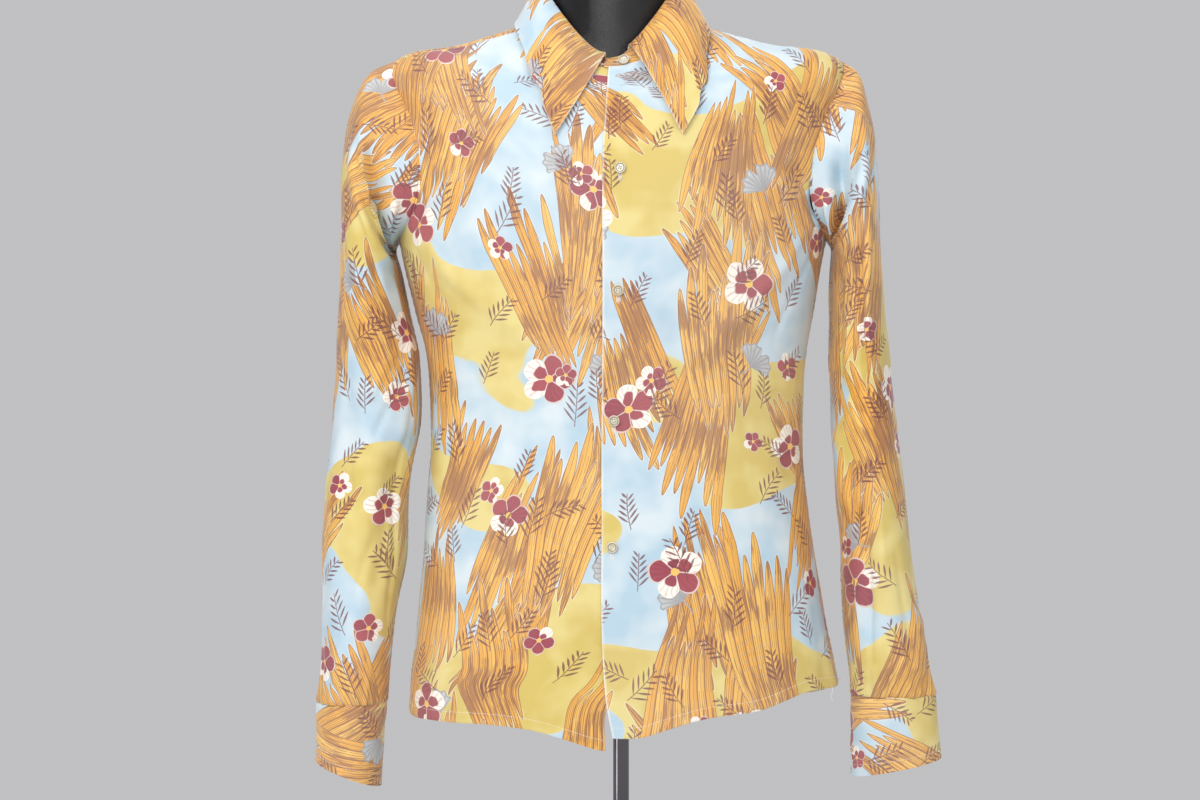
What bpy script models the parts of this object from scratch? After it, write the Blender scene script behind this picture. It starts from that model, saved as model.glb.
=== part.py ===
# A long-sleeved shirt with a large pointed collar, on a limbless dress form with a pole and a round foot.
# Metres, +Z up. The front faces -Y, and the origin is the middle of the foot's underside.
# Sides are the wearer's: left is +X. Angles run round the body from its left side line; -90 is the front.

import math

import bpy
import numpy as np
from mathutils import Vector

WALL = 0.0012           # thickness of every cloth solid
SEAM = 0.0003           # gap between sewn pieces
LAP_DEPTH = 0.0021      # how far the right front lies under the left one
LAP_FADE = 0.022        # width over which it comes out from under
STEP = 1e-5             # step of the numeric slopes
FRONT, BACK = -math.pi / 2, math.pi / 2


def table(names, *rows):
    """Named columns, from one row for each section."""
    return dict(zip(names.split(), np.array(rows, float).T))


# Sections round the shirt's outer face. level is the distance up its side, over the shoulder and in to the
# neck. Up to the chest the sections are level; over the shoulders each one dips at the front and back, and
# the last is the neckline. clear is the form's distance inside it.
BODY = table(
    "level side_z front_z back_z half   centre  front  back   power clear",
    (0.800, 0.800, 0.800, 0.800, 0.2060, 0.0035, 0.100, 0.103, 2.15, 0.016),
    (0.874, 0.874, 0.874, 0.874, 0.2024, 0.0030, 0.101, 0.106, 2.20, 0.014),
    (0.950, 0.950, 0.950, 0.950, 0.1910, 0.0000, 0.103, 0.108, 2.20, 0.011),
    (1.045, 1.045, 1.045, 1.045, 0.1796, -0.0040, 0.099, 0.096, 2.20, 0.012),
    (1.112, 1.112, 1.112, 1.112, 0.1758, -0.0040, 0.098, 0.090, 2.20, 0.014),
    (1.188, 1.188, 1.188, 1.188, 0.1805, -0.0045, 0.104, 0.097, 2.20, 0.012),
    (1.226, 1.226, 1.226, 1.226, 0.1890, -0.0067, 0.109, 0.102, 2.25, 0.010),
    (1.283, 1.283, 1.283, 1.283, 0.2010, -0.0080, 0.113, 0.108, 2.30, 0.008),
    (1.345, 1.345, 1.338, 1.345, 0.2075, -0.0060, 0.112, 0.112, 2.30, 0.0070),
    (1.410, 1.410, 1.376, 1.396, 0.2110, -0.0040, 0.107, 0.110, 2.25, 0.0056),
    (1.455, 1.455, 1.405, 1.436, 0.2150, -0.0028, 0.100, 0.103, 2.15, 0.0040),
    (1.462, 1.462, 1.411, 1.442, 0.2095, -0.0025, 0.098, 0.101, 2.12, 0.0038),
    (1.530, 1.4775, 1.430, 1.475, 0.1450, -0.0060, 0.091, 0.085, 2.05, 0.0027),
    (1.600, 1.496, 1.446, 1.506, 0.0790, -0.0115, 0.083, 0.068, 2.00, 0.0034),
)
NECKLINE = BODY["level"][-1]
FRONT_CLEARANCE = 0.0032    # added to clear towards the centre front, for the lap
NECK_CLEARANCE = 0.0035     # how much further in the form is at the neckline, for the collar band
PLANE_LEVEL = 0.935         # above this the sections' rows are level

# Soft ridges (positive) and troughs (negative) of the body: from angle0, level0 to angle1, level1.
BODY_FOLDS = table(
    "angle0 level0 angle1 level1 width height",
    (-38, 1.262, -72, 1.175, 0.012, 0.0030),
    (-142, 1.262, -112, 1.190, 0.012, 0.0030),
    (-152, 1.080, -122, 1.120, 0.014, -0.0028),
    (-24, 1.075, -52, 1.130, 0.014, -0.0028),
    (60, 1.120, 118, 1.090, 0.016, 0.0034),
    (35, 1.250, 62, 1.150, 0.013, 0.0030),
    (146, 1.255, 120, 1.160, 0.013, 0.0030),
)
BODY_RADIUS = 0.16          # turns an angle into a distance for the folds
FOLD_FADE = 0.3             # share of a fold's length over which it fades at each end

ARMHOLE = dict(base=1.2915, tip=1.462, front=math.radians(30), back=math.radians(27), skew=0.3)
ARMHOLE_GROW = 0.0028       # as a share of its size, half a seam's gap
ARM_STEPS = 24              # divisions round an armhole and a sleeve
ARM_TURNS = np.arange(ARM_STEPS + 1) * 2 * math.pi / ARM_STEPS
# Divisions, from the underarm, where the yoke's seams meet the armhole, and the seams' angles at the neck.
YOKE_AT_FRONT = {1: 11, -1: 10}
YOKE_AT_BACK = 8
YOKE_NECK_ANGLE = {1: math.radians(-7.5), -1: math.radians(201)}
SIDE_CLOSER = 1.2           # radians of a sine that sets the panels' columns closer towards the sides
YOKE_BACK_RISE = 0.026      # how much higher the back yoke seam is at the middle
SEAM_ANGLE = math.radians(0.12)     # half a seam's gap where the seam runs up the body

# Where each front ends at the centre: x of its edge by level. The left front is the upper one.
EDGE_LEFT = table(
    "level x",
    (0.832, -0.0082),
    (0.867, -0.0145),
    (1.049, -0.0182),
    (1.231, -0.0173),
    (1.400, -0.0170),
    (1.462, -0.0145),
    (1.600, -0.0117),
)
EDGE_RIGHT = table(
    "level x",
    (0.8200, -0.0155),
    (0.860, -0.0138),
    (0.880, 0.0000),
    (0.910, 0.0100),
    (1.600, 0.0100),
)
# Height of the hem by degrees from the centre front (the fronts) or from the centre back (the back).
HEM_LEFT = table("away z", (-4, 0.8322), (3, 0.8325), (9, 0.8395), (18, 0.8485), (36, 0.8560),
                 (46, 0.8645), (55, 0.8700), (79, 0.8710), (90, 0.8725))
HEM_RIGHT = table("away z", (-4, 0.8190), (4, 0.8200), (14, 0.8305), (23, 0.8385), (57, 0.8430),
                  (78, 0.8440), (90, 0.8490))
HEM_BACK = table("away z", (-90, 0.8490), (-60, 0.8450), (0, 0.8430), (60, 0.8560), (90, 0.8725))

# Sleeve sections from the armhole to the cuff: their outermost and innermost points, the fore-and-aft
# half width and its middle. down is the distance from the shoulder tip along the outer side.
SLEEVE_RIGHT = table(
    "down  outer_x  outer_z inner_x  inner_z half_depth centre_y",
    (0.000, -0.2120, 1.4620, -0.2090, 1.2915, 0.056, -0.003),
    (0.028, -0.2375, 1.4500, -0.2106, 1.2898, 0.060, -0.003),
    (0.068, -0.2546, 1.4155, -0.2124, 1.2865, 0.066, -0.002),
    (0.117, -0.2632, 1.3680, -0.2138, 1.2825, 0.071, 0.000),
    (0.172, -0.2651, 1.3130, -0.2133, 1.2760, 0.075, 0.002),
    (0.226, -0.2665, 1.2590, -0.2081, 1.2540, 0.074, 0.003),
    (0.307, -0.2698, 1.1780, -0.1920, 1.1760, 0.063, 0.002),
    (0.364, -0.2736, 1.1210, -0.1910, 1.1210, 0.057, -0.002),
    (0.431, -0.2793, 1.0545, -0.2014, 1.0545, 0.054, -0.006),
    (0.488, -0.2822, 0.9975, -0.2028, 0.9975, 0.050, -0.009),
    (0.555, -0.2822, 0.9310, -0.2147, 0.9310, 0.047, -0.012),
    (0.602, -0.2836, 0.8835, -0.2185, 0.8835, 0.045, -0.014),
    (0.630, -0.2872, 0.8560, -0.2212, 0.8560, 0.0375, -0.015),
)
SLEEVE_LEFT = table(
    "down  outer_x  outer_z inner_x  inner_z half_depth centre_y",
    (0.000, 0.2070, 1.4620, 0.1950, 1.2915, 0.056, -0.003),
    (0.028, 0.2233, 1.4500, 0.1970, 1.2905, 0.060, -0.003),
    (0.064, 0.2347, 1.4155, 0.1988, 1.2880, 0.066, -0.002),
    (0.112, 0.2413, 1.3680, 0.2000, 1.2845, 0.071, 0.000),
    (0.167, 0.2442, 1.3130, 0.2005, 1.2790, 0.075, 0.003),
    (0.221, 0.2475, 1.2590, 0.1990, 1.2560, 0.075, 0.004),
    (0.298, 0.2537, 1.1830, 0.1988, 1.1830, 0.069, 0.003),
    (0.360, 0.2603, 1.1210, 0.2000, 1.1210, 0.064, 0.000),
    (0.422, 0.2670, 1.0590, 0.2035, 1.0590, 0.058, -0.004),
    (0.479, 0.2736, 1.0020, 0.2081, 1.0020, 0.053, -0.007),
    (0.546, 0.2822, 0.9358, 0.2100, 0.9358, 0.048, -0.010),
    (0.594, 0.2885, 0.8883, 0.2158, 0.8883, 0.045, -0.012),
    (0.622, 0.2968, 0.8626, 0.2168, 0.8626, 0.0335, -0.013),
)
SLEEVES = {1: SLEEVE_LEFT, -1: SLEEVE_RIGHT}
# Length over which a sleeve goes from the armhole's outline to its own, and how much more at the underarm.
ARMHOLE_BLEND, UNDERARM_BLEND = 0.055, 0.110
# Soft ridges and troughs of the sleeves: turn is in degrees from the underarm line, towards the front.
FOLDS_RIGHT = table(
    "turn0 down0 turn1 down1 width height",
    (118, 0.100, 42, 0.205, 0.015, 0.0055),
    (80, 0.110, 22, 0.185, 0.013, -0.0055),
    (20, 0.285, 48, 0.390, 0.013, 0.0050),
    (48, 0.390, 62, 0.520, 0.012, -0.0040),
    (130, 0.320, 105, 0.450, 0.014, -0.0035),
    (215, 0.140, 300, 0.230, 0.016, 0.0055),
    (250, 0.300, 290, 0.400, 0.015, -0.0045),
    (240, 0.450, 265, 0.560, 0.014, 0.0040),
)
FOLDS_LEFT = table(
    "turn0 down0 turn1 down1 width height",
    (108, 0.085, 28, 0.175, 0.014, 0.0050),
    (62, 0.205, 76, 0.330, 0.014, -0.0065),
    (40, 0.330, 110, 0.372, 0.013, -0.0045),
    (25, 0.370, 40, 0.440, 0.015, 0.0055),
    (70, 0.440, 60, 0.560, 0.013, -0.0040),
    (150, 0.540, 130, 0.600, 0.015, 0.0045),
    (225, 0.130, 300, 0.215, 0.016, 0.0055),
    (255, 0.290, 285, 0.400, 0.015, -0.0050),
    (235, 0.440, 270, 0.550, 0.014, 0.0040),
)
FOLDS = {1: FOLDS_LEFT, -1: FOLDS_RIGHT}
SLEEVE_RADIUS = 0.05

# Cuff openings: outer and inner end of the lower edge, and how wide and deep the cuff stands.
CUFF_RIGHT = dict(outer=(-0.2879, 0.8010), inner=(-0.2268, 0.7775), half_depth=0.0365, centre_y=-0.017)
CUFF_LEFT = dict(outer=(0.3020, 0.8035), inner=(0.2172, 0.7865), half_depth=0.0320, centre_y=-0.015)
CUFFS = {1: CUFF_LEFT, -1: CUFF_RIGHT}
CUFF_LAP_FROM, CUFF_LAP = 232, 44   # degrees round where the cuff's upper end starts, and how much it laps
CUFF_LAP_DEPTH = 0.0019

# Collar band: its upper edge is an oval round the neck, its height given by degrees from the centre front.
BAND_TOP = dict(half=0.0645, front=0.0650, back=0.0630, centre=-0.0115)
BAND_TOP_Z = table("away z", (0, 1.4560), (10, 1.4590), (22, 1.4705), (41, 1.4935), (58, 1.5125),
                   (90, 1.5320), (135, 1.5440), (180, 1.5480))
BAND_UNDER_X, BAND_OVER_X = 0.0095, -0.0150    # its two ends, lapped at the front
BAND_SEAM = 0.0005                             # rise of the band off the neckline, for the seam's gap
LEAF_START_X = {-1: -0.0150, 1: 0.0062}        # the leaf's two front ends on the band
LEAF_SEAM = 0.0009                             # gap between the band's upper edge and the leaf
LEAF_RISE, LEAF_ROLL = 0.0012, 0.0027          # straight start and radius of the leaf's fold over the band
LEAF_BEND, LEAF_ROUND = 105, 0.32              # degrees it turns there, and how full it is as it falls
LEAF_OFF = 0.0032                              # how far the leaf's edge stands off the shirt
# The leaf's outer edge from its point to the shoulder, by share of the way from the front to the back.
LEAF_EDGE_RIGHT = table("share x z", (0.00, -0.0608, 1.3800), (0.08, -0.0690, 1.4020),
                        (0.17, -0.0800, 1.4310), (0.26, -0.0890, 1.4600))
LEAF_EDGE_LEFT = table("share x z", (0.00, 0.0546, 1.3815), (0.08, 0.0675, 1.4035),
                       (0.17, 0.0752, 1.4280), (0.26, 0.0780, 1.4570))
LEAF_EDGES = {1: LEAF_EDGE_LEFT, -1: LEAF_EDGE_RIGHT}
LEAF_SHOULDER = table("share away level", (0.40, 90, 1.592), (0.60, 128, 1.588), (1.00, 180, 1.583))

BUTTON_RADIUS, BUTTON_THICKNESS, BUTTON_RIM = 0.0052, 0.0024, 0.0011
BUTTON_OFF, COLLAR_BUTTON_OFF = 0.0002, 0.0008      # their undersides off the cloth
COLLAR_BUTTON_X = 0.0004
FRONT_BUTTONS = table("x z", (-0.0019, 1.3503), (-0.0037, 1.2397), (-0.0073, 1.1210), (-0.0091, 1.0058))

POLE_RADIUS = 0.0076
POLE_DEPTH_IN_FORM, FORM_BOTTOM, NECK_TOP = 0.060, 0.884, 1.590
NECK_PLAIN = 1.562          # above this the neck's sections are level
FORM_EDGE = 0.006           # rounding of the form's edges
FORM_BOTTOM_INSET = 0.95, 0.93      # the underside's size as a share of the section above it
NECK = dict(half=0.0600, front=0.0585, back=0.0585, centre=-0.0115)
FOOT_RADIUS, FOOT_RIM, FOOT_THICKNESS = 0.150, 0.005, 0.011
BOSS_RADIUS, BOSS_HEIGHT, POLE_FOOT = 0.020, 0.038, 0.006
ROUND_STEPS = 32

CLOTH = (0.84, 0.66, 0.40)


# ---- curves and surfaces

def glide(at, xs, ys):
    """Smooth curve through the points (xs, ys): cubic, each point's slope the mean of those beside it."""
    at = np.clip(at, xs[0], xs[-1])
    slope = np.diff(ys) / np.diff(xs)
    slopes = np.concatenate([slope[:1], (slope[1:] + slope[:-1]) / 2, slope[-1:]])
    i = np.clip(np.searchsorted(xs, at, side="right") - 1, 0, len(xs) - 2)
    span = xs[i + 1] - xs[i]
    f = (at - xs[i]) / span
    start = (1 + 2 * f) * (1 - f) ** 2 * ys[i] + f * (1 - f) ** 2 * span * slopes[i]
    end = f * f * (3 - 2 * f) * ys[i + 1] + f * f * (f - 1) * span * slopes[i + 1]
    return start + end


def ramp(value):
    """0 to 1 with level ends."""
    value = np.clip(value, 0, 1)
    return value * value * (3 - 2 * value)


def folds_height(across, along, folds, names, scale):
    """Sum of the folds at (across * scale, along), each fading off its line and towards its ends."""
    total = np.zeros(np.broadcast(across, along).shape)
    a0, l0, a1, l1 = (folds[name] for name in names)
    for k in range(len(a0)):
        start = np.array([math.radians(a0[k]) * scale, l0[k]])
        end = np.array([math.radians(a1[k]) * scale, l1[k]])
        length = np.linalg.norm(end - start)
        way = (end - start) / length
        dx, dy = across * scale - start[0], along - start[1]
        share = (dx * way[0] + dy * way[1]) / length
        off = (dx * way[1] - dy * way[0]) / folds["width"][k]
        ends = ramp(share / FOLD_FADE + 0.5) * ramp((1 - share) / FOLD_FADE + 0.5)
        total = total + folds["height"][k] * np.exp(-off * off) * ends
    return total


def oval(angle, half, centre, front, back, power=2.0):
    """x and y of a closed section: a superellipse whose front and back differ in depth."""
    c, s = np.cos(angle), np.sin(angle)
    x = centre + half * np.sign(c) * np.abs(c) ** (2 / power)
    y = np.where(s < 0, front, back) * np.sign(s) * np.abs(s) ** (2 / power)
    return x, y


def body(angle, level, folded=True):
    """The shirt's outer face at an angle round it and a level, with or without its folds."""
    angle, level = np.broadcast_arrays(np.asarray(angle, float), np.asarray(level, float))
    row = {name: glide(level, BODY["level"], BODY[name]) for name in BODY}
    x, y = oval(angle, row["half"], row["centre"], row["front"], row["back"], row["power"])
    c, s = np.cos(angle), np.sin(angle)
    z = row["side_z"] + (np.where(s < 0, row["front_z"], row["back_z"]) - row["side_z"]) * s * s
    turn = (angle + math.pi) % (2 * math.pi) - math.pi
    ends = "angle0", "level0", "angle1", "level1"
    height = folds_height(turn, level, BODY_FOLDS, ends, BODY_RADIUS) * folded
    return np.stack([x + height * c, y + height * s, z], -1)


def normals(surface, u, v, outward=1):
    """Unit normals of surface(u, v), from its slopes."""
    du = surface(u + STEP, v) - surface(u - STEP, v)
    dv = surface(u, v + STEP) - surface(u, v - STEP)
    n = np.cross(du, dv) * outward
    return n / np.linalg.norm(n, axis=-1, keepdims=True)


def grid_normals(grid, outward=1):
    """Unit normals of a grid of points, from its own steps."""
    n = np.cross(np.gradient(grid, axis=1), np.gradient(grid, axis=0)) * outward
    return n / np.linalg.norm(n, axis=-1, keepdims=True)


def body_normals(angle, level):
    return normals(body, angle, np.clip(level, BODY["level"][0] + STEP, NECKLINE - STEP))


def angle_of_x(x, level):
    """Angle at which the front, at a level, has this x."""
    half, centre, power = (glide(level, BODY["level"], BODY[name]) for name in ("half", "centre", "power"))
    share = (x - centre) / half
    return FRONT + np.arcsin(np.sign(share) * np.abs(share) ** (power / 2))


def on_front(x, z):
    """Angle and level of the front's point that has this x and z, by Newton's steps."""
    at = np.array([angle_of_x(x, z), z + 0.8 * max(z - 1.36, 0)])
    for _ in range(20):
        here = body(*at)
        slopes = body(at[0] + STEP, at[1]) - here, body(at[0], at[1] + STEP) - here
        slope = np.stack(slopes, -1)[[0, 2]] / STEP
        at = at - np.clip(np.linalg.solve(slope, here[[0, 2]] - (x, z)), -0.1, 0.1)
    return at


def armhole(turn, side, grow=0.0):
    """Angle and level of the armhole's line: turn runs from the underarm over the front to the tip."""
    middle = (ARMHOLE["tip"] + ARMHOLE["base"]) / 2
    reach = (ARMHOLE["tip"] - ARMHOLE["base"]) / 2 * (1 + grow)
    widest = np.where(np.sin(turn) > 0, ARMHOLE["front"], ARMHOLE["back"]) * (1 + grow)
    swing = widest * np.sin(turn) * (1 + ARMHOLE["skew"] * np.cos(turn))
    angle = -swing if side > 0 else -math.pi + swing
    return angle, middle - reach * np.cos(turn)


# ---- solids

def material(name, colour, roughness, metallic=0.0):
    made = bpy.data.materials.new(name)
    made.use_nodes = True
    shader = made.node_tree.nodes["Principled BSDF"]
    shader.inputs["Base Color"].default_value = (*colour, 1)
    shader.inputs["Roughness"].default_value = roughness
    shader.inputs["Metallic"].default_value = metallic
    return made


def add(name, points, faces, finish, sharp=40):
    """A named object from points and faces, its faces turned outwards."""
    mesh = bpy.data.meshes.new(name)
    points = np.asarray(points, float).reshape(-1, 3)
    corners = points[faces]
    volume = np.einsum("ij,ij->i", corners[:, 0], np.cross(corners[:, 1], corners[:, 2])).sum()
    if volume < 0:
        faces = faces[:, ::-1]
    mesh.from_pydata(points.tolist(), [], faces.tolist())
    mesh.shade_smooth()
    mesh.set_sharp_from_angle(angle=math.radians(sharp))
    mesh.materials.append(finish)
    made = bpy.data.objects.new(name, mesh)
    bpy.context.scene.collection.objects.link(made)
    return made


def quads(first, second, upward=True):
    """Triangles between two rows of point numbers; upward diagonals start at the first row's left."""
    a, b, c, d = first[:-1], first[1:], second[1:], second[:-1]
    upward = np.broadcast_to(upward, a.shape)
    lower = np.stack([a, b, np.where(upward, c, d)], -1)
    upper = np.stack([np.where(upward, a, b), c, d], -1)
    return np.concatenate([lower, upper])


def shorter_diagonals(points, first, second):
    """Whether each quad's diagonal from the first row's left is the shorter one."""
    rising = np.linalg.norm(points[first[:-1]] - points[second[1:]], axis=1)
    falling = np.linalg.norm(points[first[1:]] - points[second[:-1]], axis=1)
    return rising <= falling


def wall(name, outer, outward, finish, closed=False, thickness=WALL):
    """Cloth: a grid of points on its outer face, thickened inwards. A closed grid's rows join up."""
    rows, columns = outer.shape[:2]
    numbers = np.arange(rows * columns).reshape(rows, columns)
    if closed:
        numbers = np.concatenate([numbers, numbers[:, :1]], axis=1)
    inner = numbers + rows * columns
    faces = []
    for i in range(rows - 1):
        upward = shorter_diagonals(outer.reshape(-1, 3), numbers[i], numbers[i + 1])
        faces.append(quads(numbers[i], numbers[i + 1], upward))
        faces.append(quads(inner[i], inner[i + 1], upward)[:, ::-1])
    faces += [quads(numbers[0], inner[0])[:, ::-1], quads(numbers[-1], inner[-1])]
    if not closed:
        faces += [quads(numbers[:, 0], inner[:, 0]), quads(numbers[:, -1], inner[:, -1])[:, ::-1]]
    points = np.concatenate([outer.reshape(-1, 3), (outer - outward * thickness).reshape(-1, 3)])
    return add(name, points, np.concatenate(faces), finish)


def turned(name, profile, finish, steps=ROUND_STEPS):
    """A solid of revolution about Z from (radius, height) points; a first or last radius of 0 is a pole."""
    angles = np.arange(steps) * 2 * math.pi / steps
    points, rings = [], []
    for radius, height in profile:
        ring = np.stack([radius * np.cos(angles), radius * np.sin(angles), np.full(steps, height)], -1)
        ring = ring if radius > 0 else ring[:1]
        first = sum(len(p) for p in points)
        rings.append(first + np.arange(len(ring)))
        points.append(ring)
    return add(name, np.concatenate(points), stitch(rings), finish)


def stitch(rings):
    """Triangles between closed rings of point numbers, in order; a ring of one point is a pole."""
    faces = []
    for first, second in zip(rings, rings[1:]):
        size = max(len(first), len(second))
        a, b = (np.append(np.resize(r, size), r[0]) for r in (first, second))
        made = quads(a, b)
        whole = (made[:, 0] != made[:, 1]) & (made[:, 1] != made[:, 2]) & (made[:, 0] != made[:, 2])
        faces.append(made[whole])
    return np.concatenate(faces)


# ---- the shirt

def side_angle(side, level, face):
    """Angle of the side seam's edge: half a seam's gap before the side line, or behind it for the back."""
    depth, power = glide(level, BODY["level"], BODY[face]), glide(level, BODY["level"], BODY["power"])
    gap = np.arcsin((SEAM / 2 / depth) ** (power / 2))
    if face == "front":
        return -gap if side > 0 else -math.pi + gap
    return gap if side > 0 else math.pi - gap


def rows_below_armhole(base_steps=5, steps=13):
    """Levels, and the hem's share in each, from the hem up to just under the armhole."""
    share = 1 - np.arange(base_steps + 1) / base_steps
    levels = np.linspace(PLANE_LEVEL, ARMHOLE["base"], steps + 1)[1:-1]
    level = np.concatenate([np.full(len(share), PLANE_LEVEL), levels])
    return level, np.concatenate([share, np.zeros(len(levels))])


def shoulder_shares(rows):
    """Shares of the way from the armhole's tip to the neckline, closer over the shoulder's end."""
    return np.linspace(0, 1, rows + 1) ** 1.5


def front_grid(side, columns=11, yoke_rows=6):
    """Angles and levels of a front, rows from the hem to the neckline, columns from its edge outwards."""
    edge, hem = (EDGE_LEFT, HEM_LEFT) if side > 0 else (EDGE_RIGHT, HEM_RIGHT)
    low, low_share = rows_below_armhole()
    low_end = side_angle(side, low, "front")
    hole_end, hole = armhole(ARM_TURNS[:YOKE_AT_FRONT[side] + 1], side, ARMHOLE_GROW)
    hole_end[0] = side_angle(side, hole[0], "front")
    neck_end = YOKE_NECK_ANGLE[side] - (2 * math.pi if side < 0 else 0)
    share = shoulder_shares(yoke_rows)[1:]
    shoulder = hole[-1] + (NECKLINE - hole[-1]) * share
    shoulder_end = hole_end[-1] + (neck_end - hole_end[-1]) * share - side * SEAM_ANGLE
    hole_end[-1] -= side * SEAM_ANGLE
    level = np.concatenate([low, hole, shoulder])[:, None]
    end = np.concatenate([low_end, hole_end, shoulder_end])[:, None]
    hem_share = np.concatenate([low_share, np.zeros(len(level) - len(low))])[:, None]
    across = np.sin(np.linspace(0, 1, columns + 1) * SIDE_CLOSER) / math.sin(SIDE_CLOSER)
    levels = np.repeat(level, columns + 1, axis=1)
    for _ in range(3):
        start = angle_of_x(glide(levels[:, :1], edge["level"], edge["x"]), levels[:, :1])
        angles = start + (end - start) * across
        away = np.degrees((angles - FRONT) * side)
        levels = level + hem_share * (glide(away, hem["away"], hem["z"]) - PLANE_LEVEL)
    return angles, levels


def lap(angles, levels):
    """How far under the left front's edge the right front lies, at each of its points."""
    past = body(angles, levels)[..., 0] - glide(levels, EDGE_LEFT["level"], EDGE_LEFT["x"])
    return LAP_DEPTH * ramp((past + LAP_FADE) / (LAP_FADE - 0.002))


def back_shares(columns):
    """Shares of the way across the back, from side to side, closer at both sides."""
    return np.sin(np.linspace(-1, 1, columns + 1) * SIDE_CLOSER) / math.sin(SIDE_CLOSER) / 2 + 0.5


def back_grid(columns=16):
    """Angles and levels of the back, rows from the hem to the yoke seam."""
    low, low_share = rows_below_armhole()
    turns = -ARM_TURNS[:YOKE_AT_BACK + 1]
    left_hole, hole = armhole(turns, 1, ARMHOLE_GROW)
    right_hole = armhole(turns, -1, ARMHOLE_GROW)[0] + 2 * math.pi
    left_hole[0], right_hole[0] = side_angle(1, hole[0], "back"), side_angle(-1, hole[0], "back")
    level = np.concatenate([low, hole])[:, None]
    left = np.concatenate([side_angle(1, low, "back"), left_hole])[:, None]
    right = np.concatenate([side_angle(-1, low, "back"), right_hole])[:, None]
    across = back_shares(columns)
    angles = left + (right - left) * across
    away = 90 - np.degrees(angles)
    hem = glide(away, HEM_BACK["away"], HEM_BACK["z"])
    hem_share = np.concatenate([low_share, np.zeros(len(hole))])[:, None]
    rise = ramp((level - ARMHOLE["base"]) / (hole[-1] - ARMHOLE["base"]))
    levels = level + hem_share * (hem - PLANE_LEVEL) + rise * (yoke_seam(across) - SEAM / 2)
    return angles, levels


def yoke_seam(across):
    """Height of the back yoke seam above its ends, by share of the way across the back."""
    return YOKE_BACK_RISE * (1 - (2 * across - 1) ** 2)


def yoke_grid(columns=16, rows=6):
    """Angles and levels of the yoke, rows from its outer edge to the neckline, columns round the neck."""
    left_turns = 2 * math.pi - ARM_TURNS[YOKE_AT_BACK:ARM_STEPS - YOKE_AT_FRONT[1] + 1][::-1]
    right_turns = 2 * math.pi - ARM_TURNS[YOKE_AT_BACK:ARM_STEPS - YOKE_AT_FRONT[-1] + 1]
    left_angle, left_level = armhole(left_turns, 1, ARMHOLE_GROW)
    right_angle, right_level = armhole(right_turns, -1, ARMHOLE_GROW)
    right_angle = right_angle + 2 * math.pi
    across = back_shares(columns)[1:-1]
    back_angle = left_angle[-1] + (right_angle[0] - left_angle[-1]) * across
    back_level = left_level[-1] + yoke_seam(across)
    outer_angle = np.concatenate([left_angle, back_angle, right_angle])
    outer_level = np.concatenate([left_level, back_level, right_level])
    outer_level[len(left_angle) - 1:len(left_angle) + columns] += SEAM / 2
    outer_angle[0] += SEAM_ANGLE
    outer_angle[-1] -= SEAM_ANGLE
    ends = YOKE_NECK_ANGLE[1] + SEAM_ANGLE, YOKE_NECK_ANGLE[-1] - SEAM_ANGLE
    steps = np.hypot(*np.diff(body(outer_angle, outer_level)[:, :2], axis=0).T)
    spread = np.concatenate([[0], np.cumsum(steps)]) / steps.sum()
    inner_angle = ends[0] + (ends[1] - ends[0]) * spread
    share = shoulder_shares(rows)[:, None]
    return outer_angle + (inner_angle - outer_angle) * share, outer_level + (NECKLINE - outer_level) * share


def sleeve(side):
    """The sleeve's surface as a function of turn (as round the armhole) and down."""
    rows = SLEEVES[side]

    def surface(turn, down):
        turn, down = np.broadcast_arrays(np.asarray(turn, float), np.asarray(down, float))
        at = {name: glide(down, rows["down"], rows[name]) for name in rows}
        inward = (1 + np.cos(turn)) / 2
        height = folds_height(turn % (2 * math.pi), down, FOLDS[side], ("turn0", "down0", "turn1", "down1"),
                              SLEEVE_RADIUS)
        x = at["outer_x"] + (at["inner_x"] - at["outer_x"]) * inward
        z = at["outer_z"] + (at["inner_z"] - at["outer_z"]) * inward
        y = at["centre_y"] - at["half_depth"] * np.sin(turn)
        ring = np.stack([x - side * height * np.cos(turn), y - height * np.sin(turn), z], -1)
        first = {name: rows[name][0] for name in rows}
        x0 = first["outer_x"] + (first["inner_x"] - first["outer_x"]) * inward
        z0 = first["outer_z"] + (first["inner_z"] - first["outer_z"]) * inward
        start = np.stack([x0, first["centre_y"] - first["half_depth"] * np.sin(turn), z0], -1)
        hole = body(*armhole(turn, side, -ARMHOLE_GROW))
        blend = ARMHOLE_BLEND + UNDERARM_BLEND * inward ** 1.5
        return ring + (hole - start) * (1 - ramp(down / blend))[..., None]

    return surface


def add_sleeve(name, side, finish, rings=21):
    surface = sleeve(side)
    length = SLEEVES[side]["down"][-1]
    share = np.linspace(0, 1, rings + 1)
    down = (length * (0.72 * share + 0.28 * share ** 2))[:, None]
    turn = ARM_TURNS[None, :-1]
    points = surface(turn, down)
    return wall(name, points, normals(surface, turn, down, -side), finish, closed=True)


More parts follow.
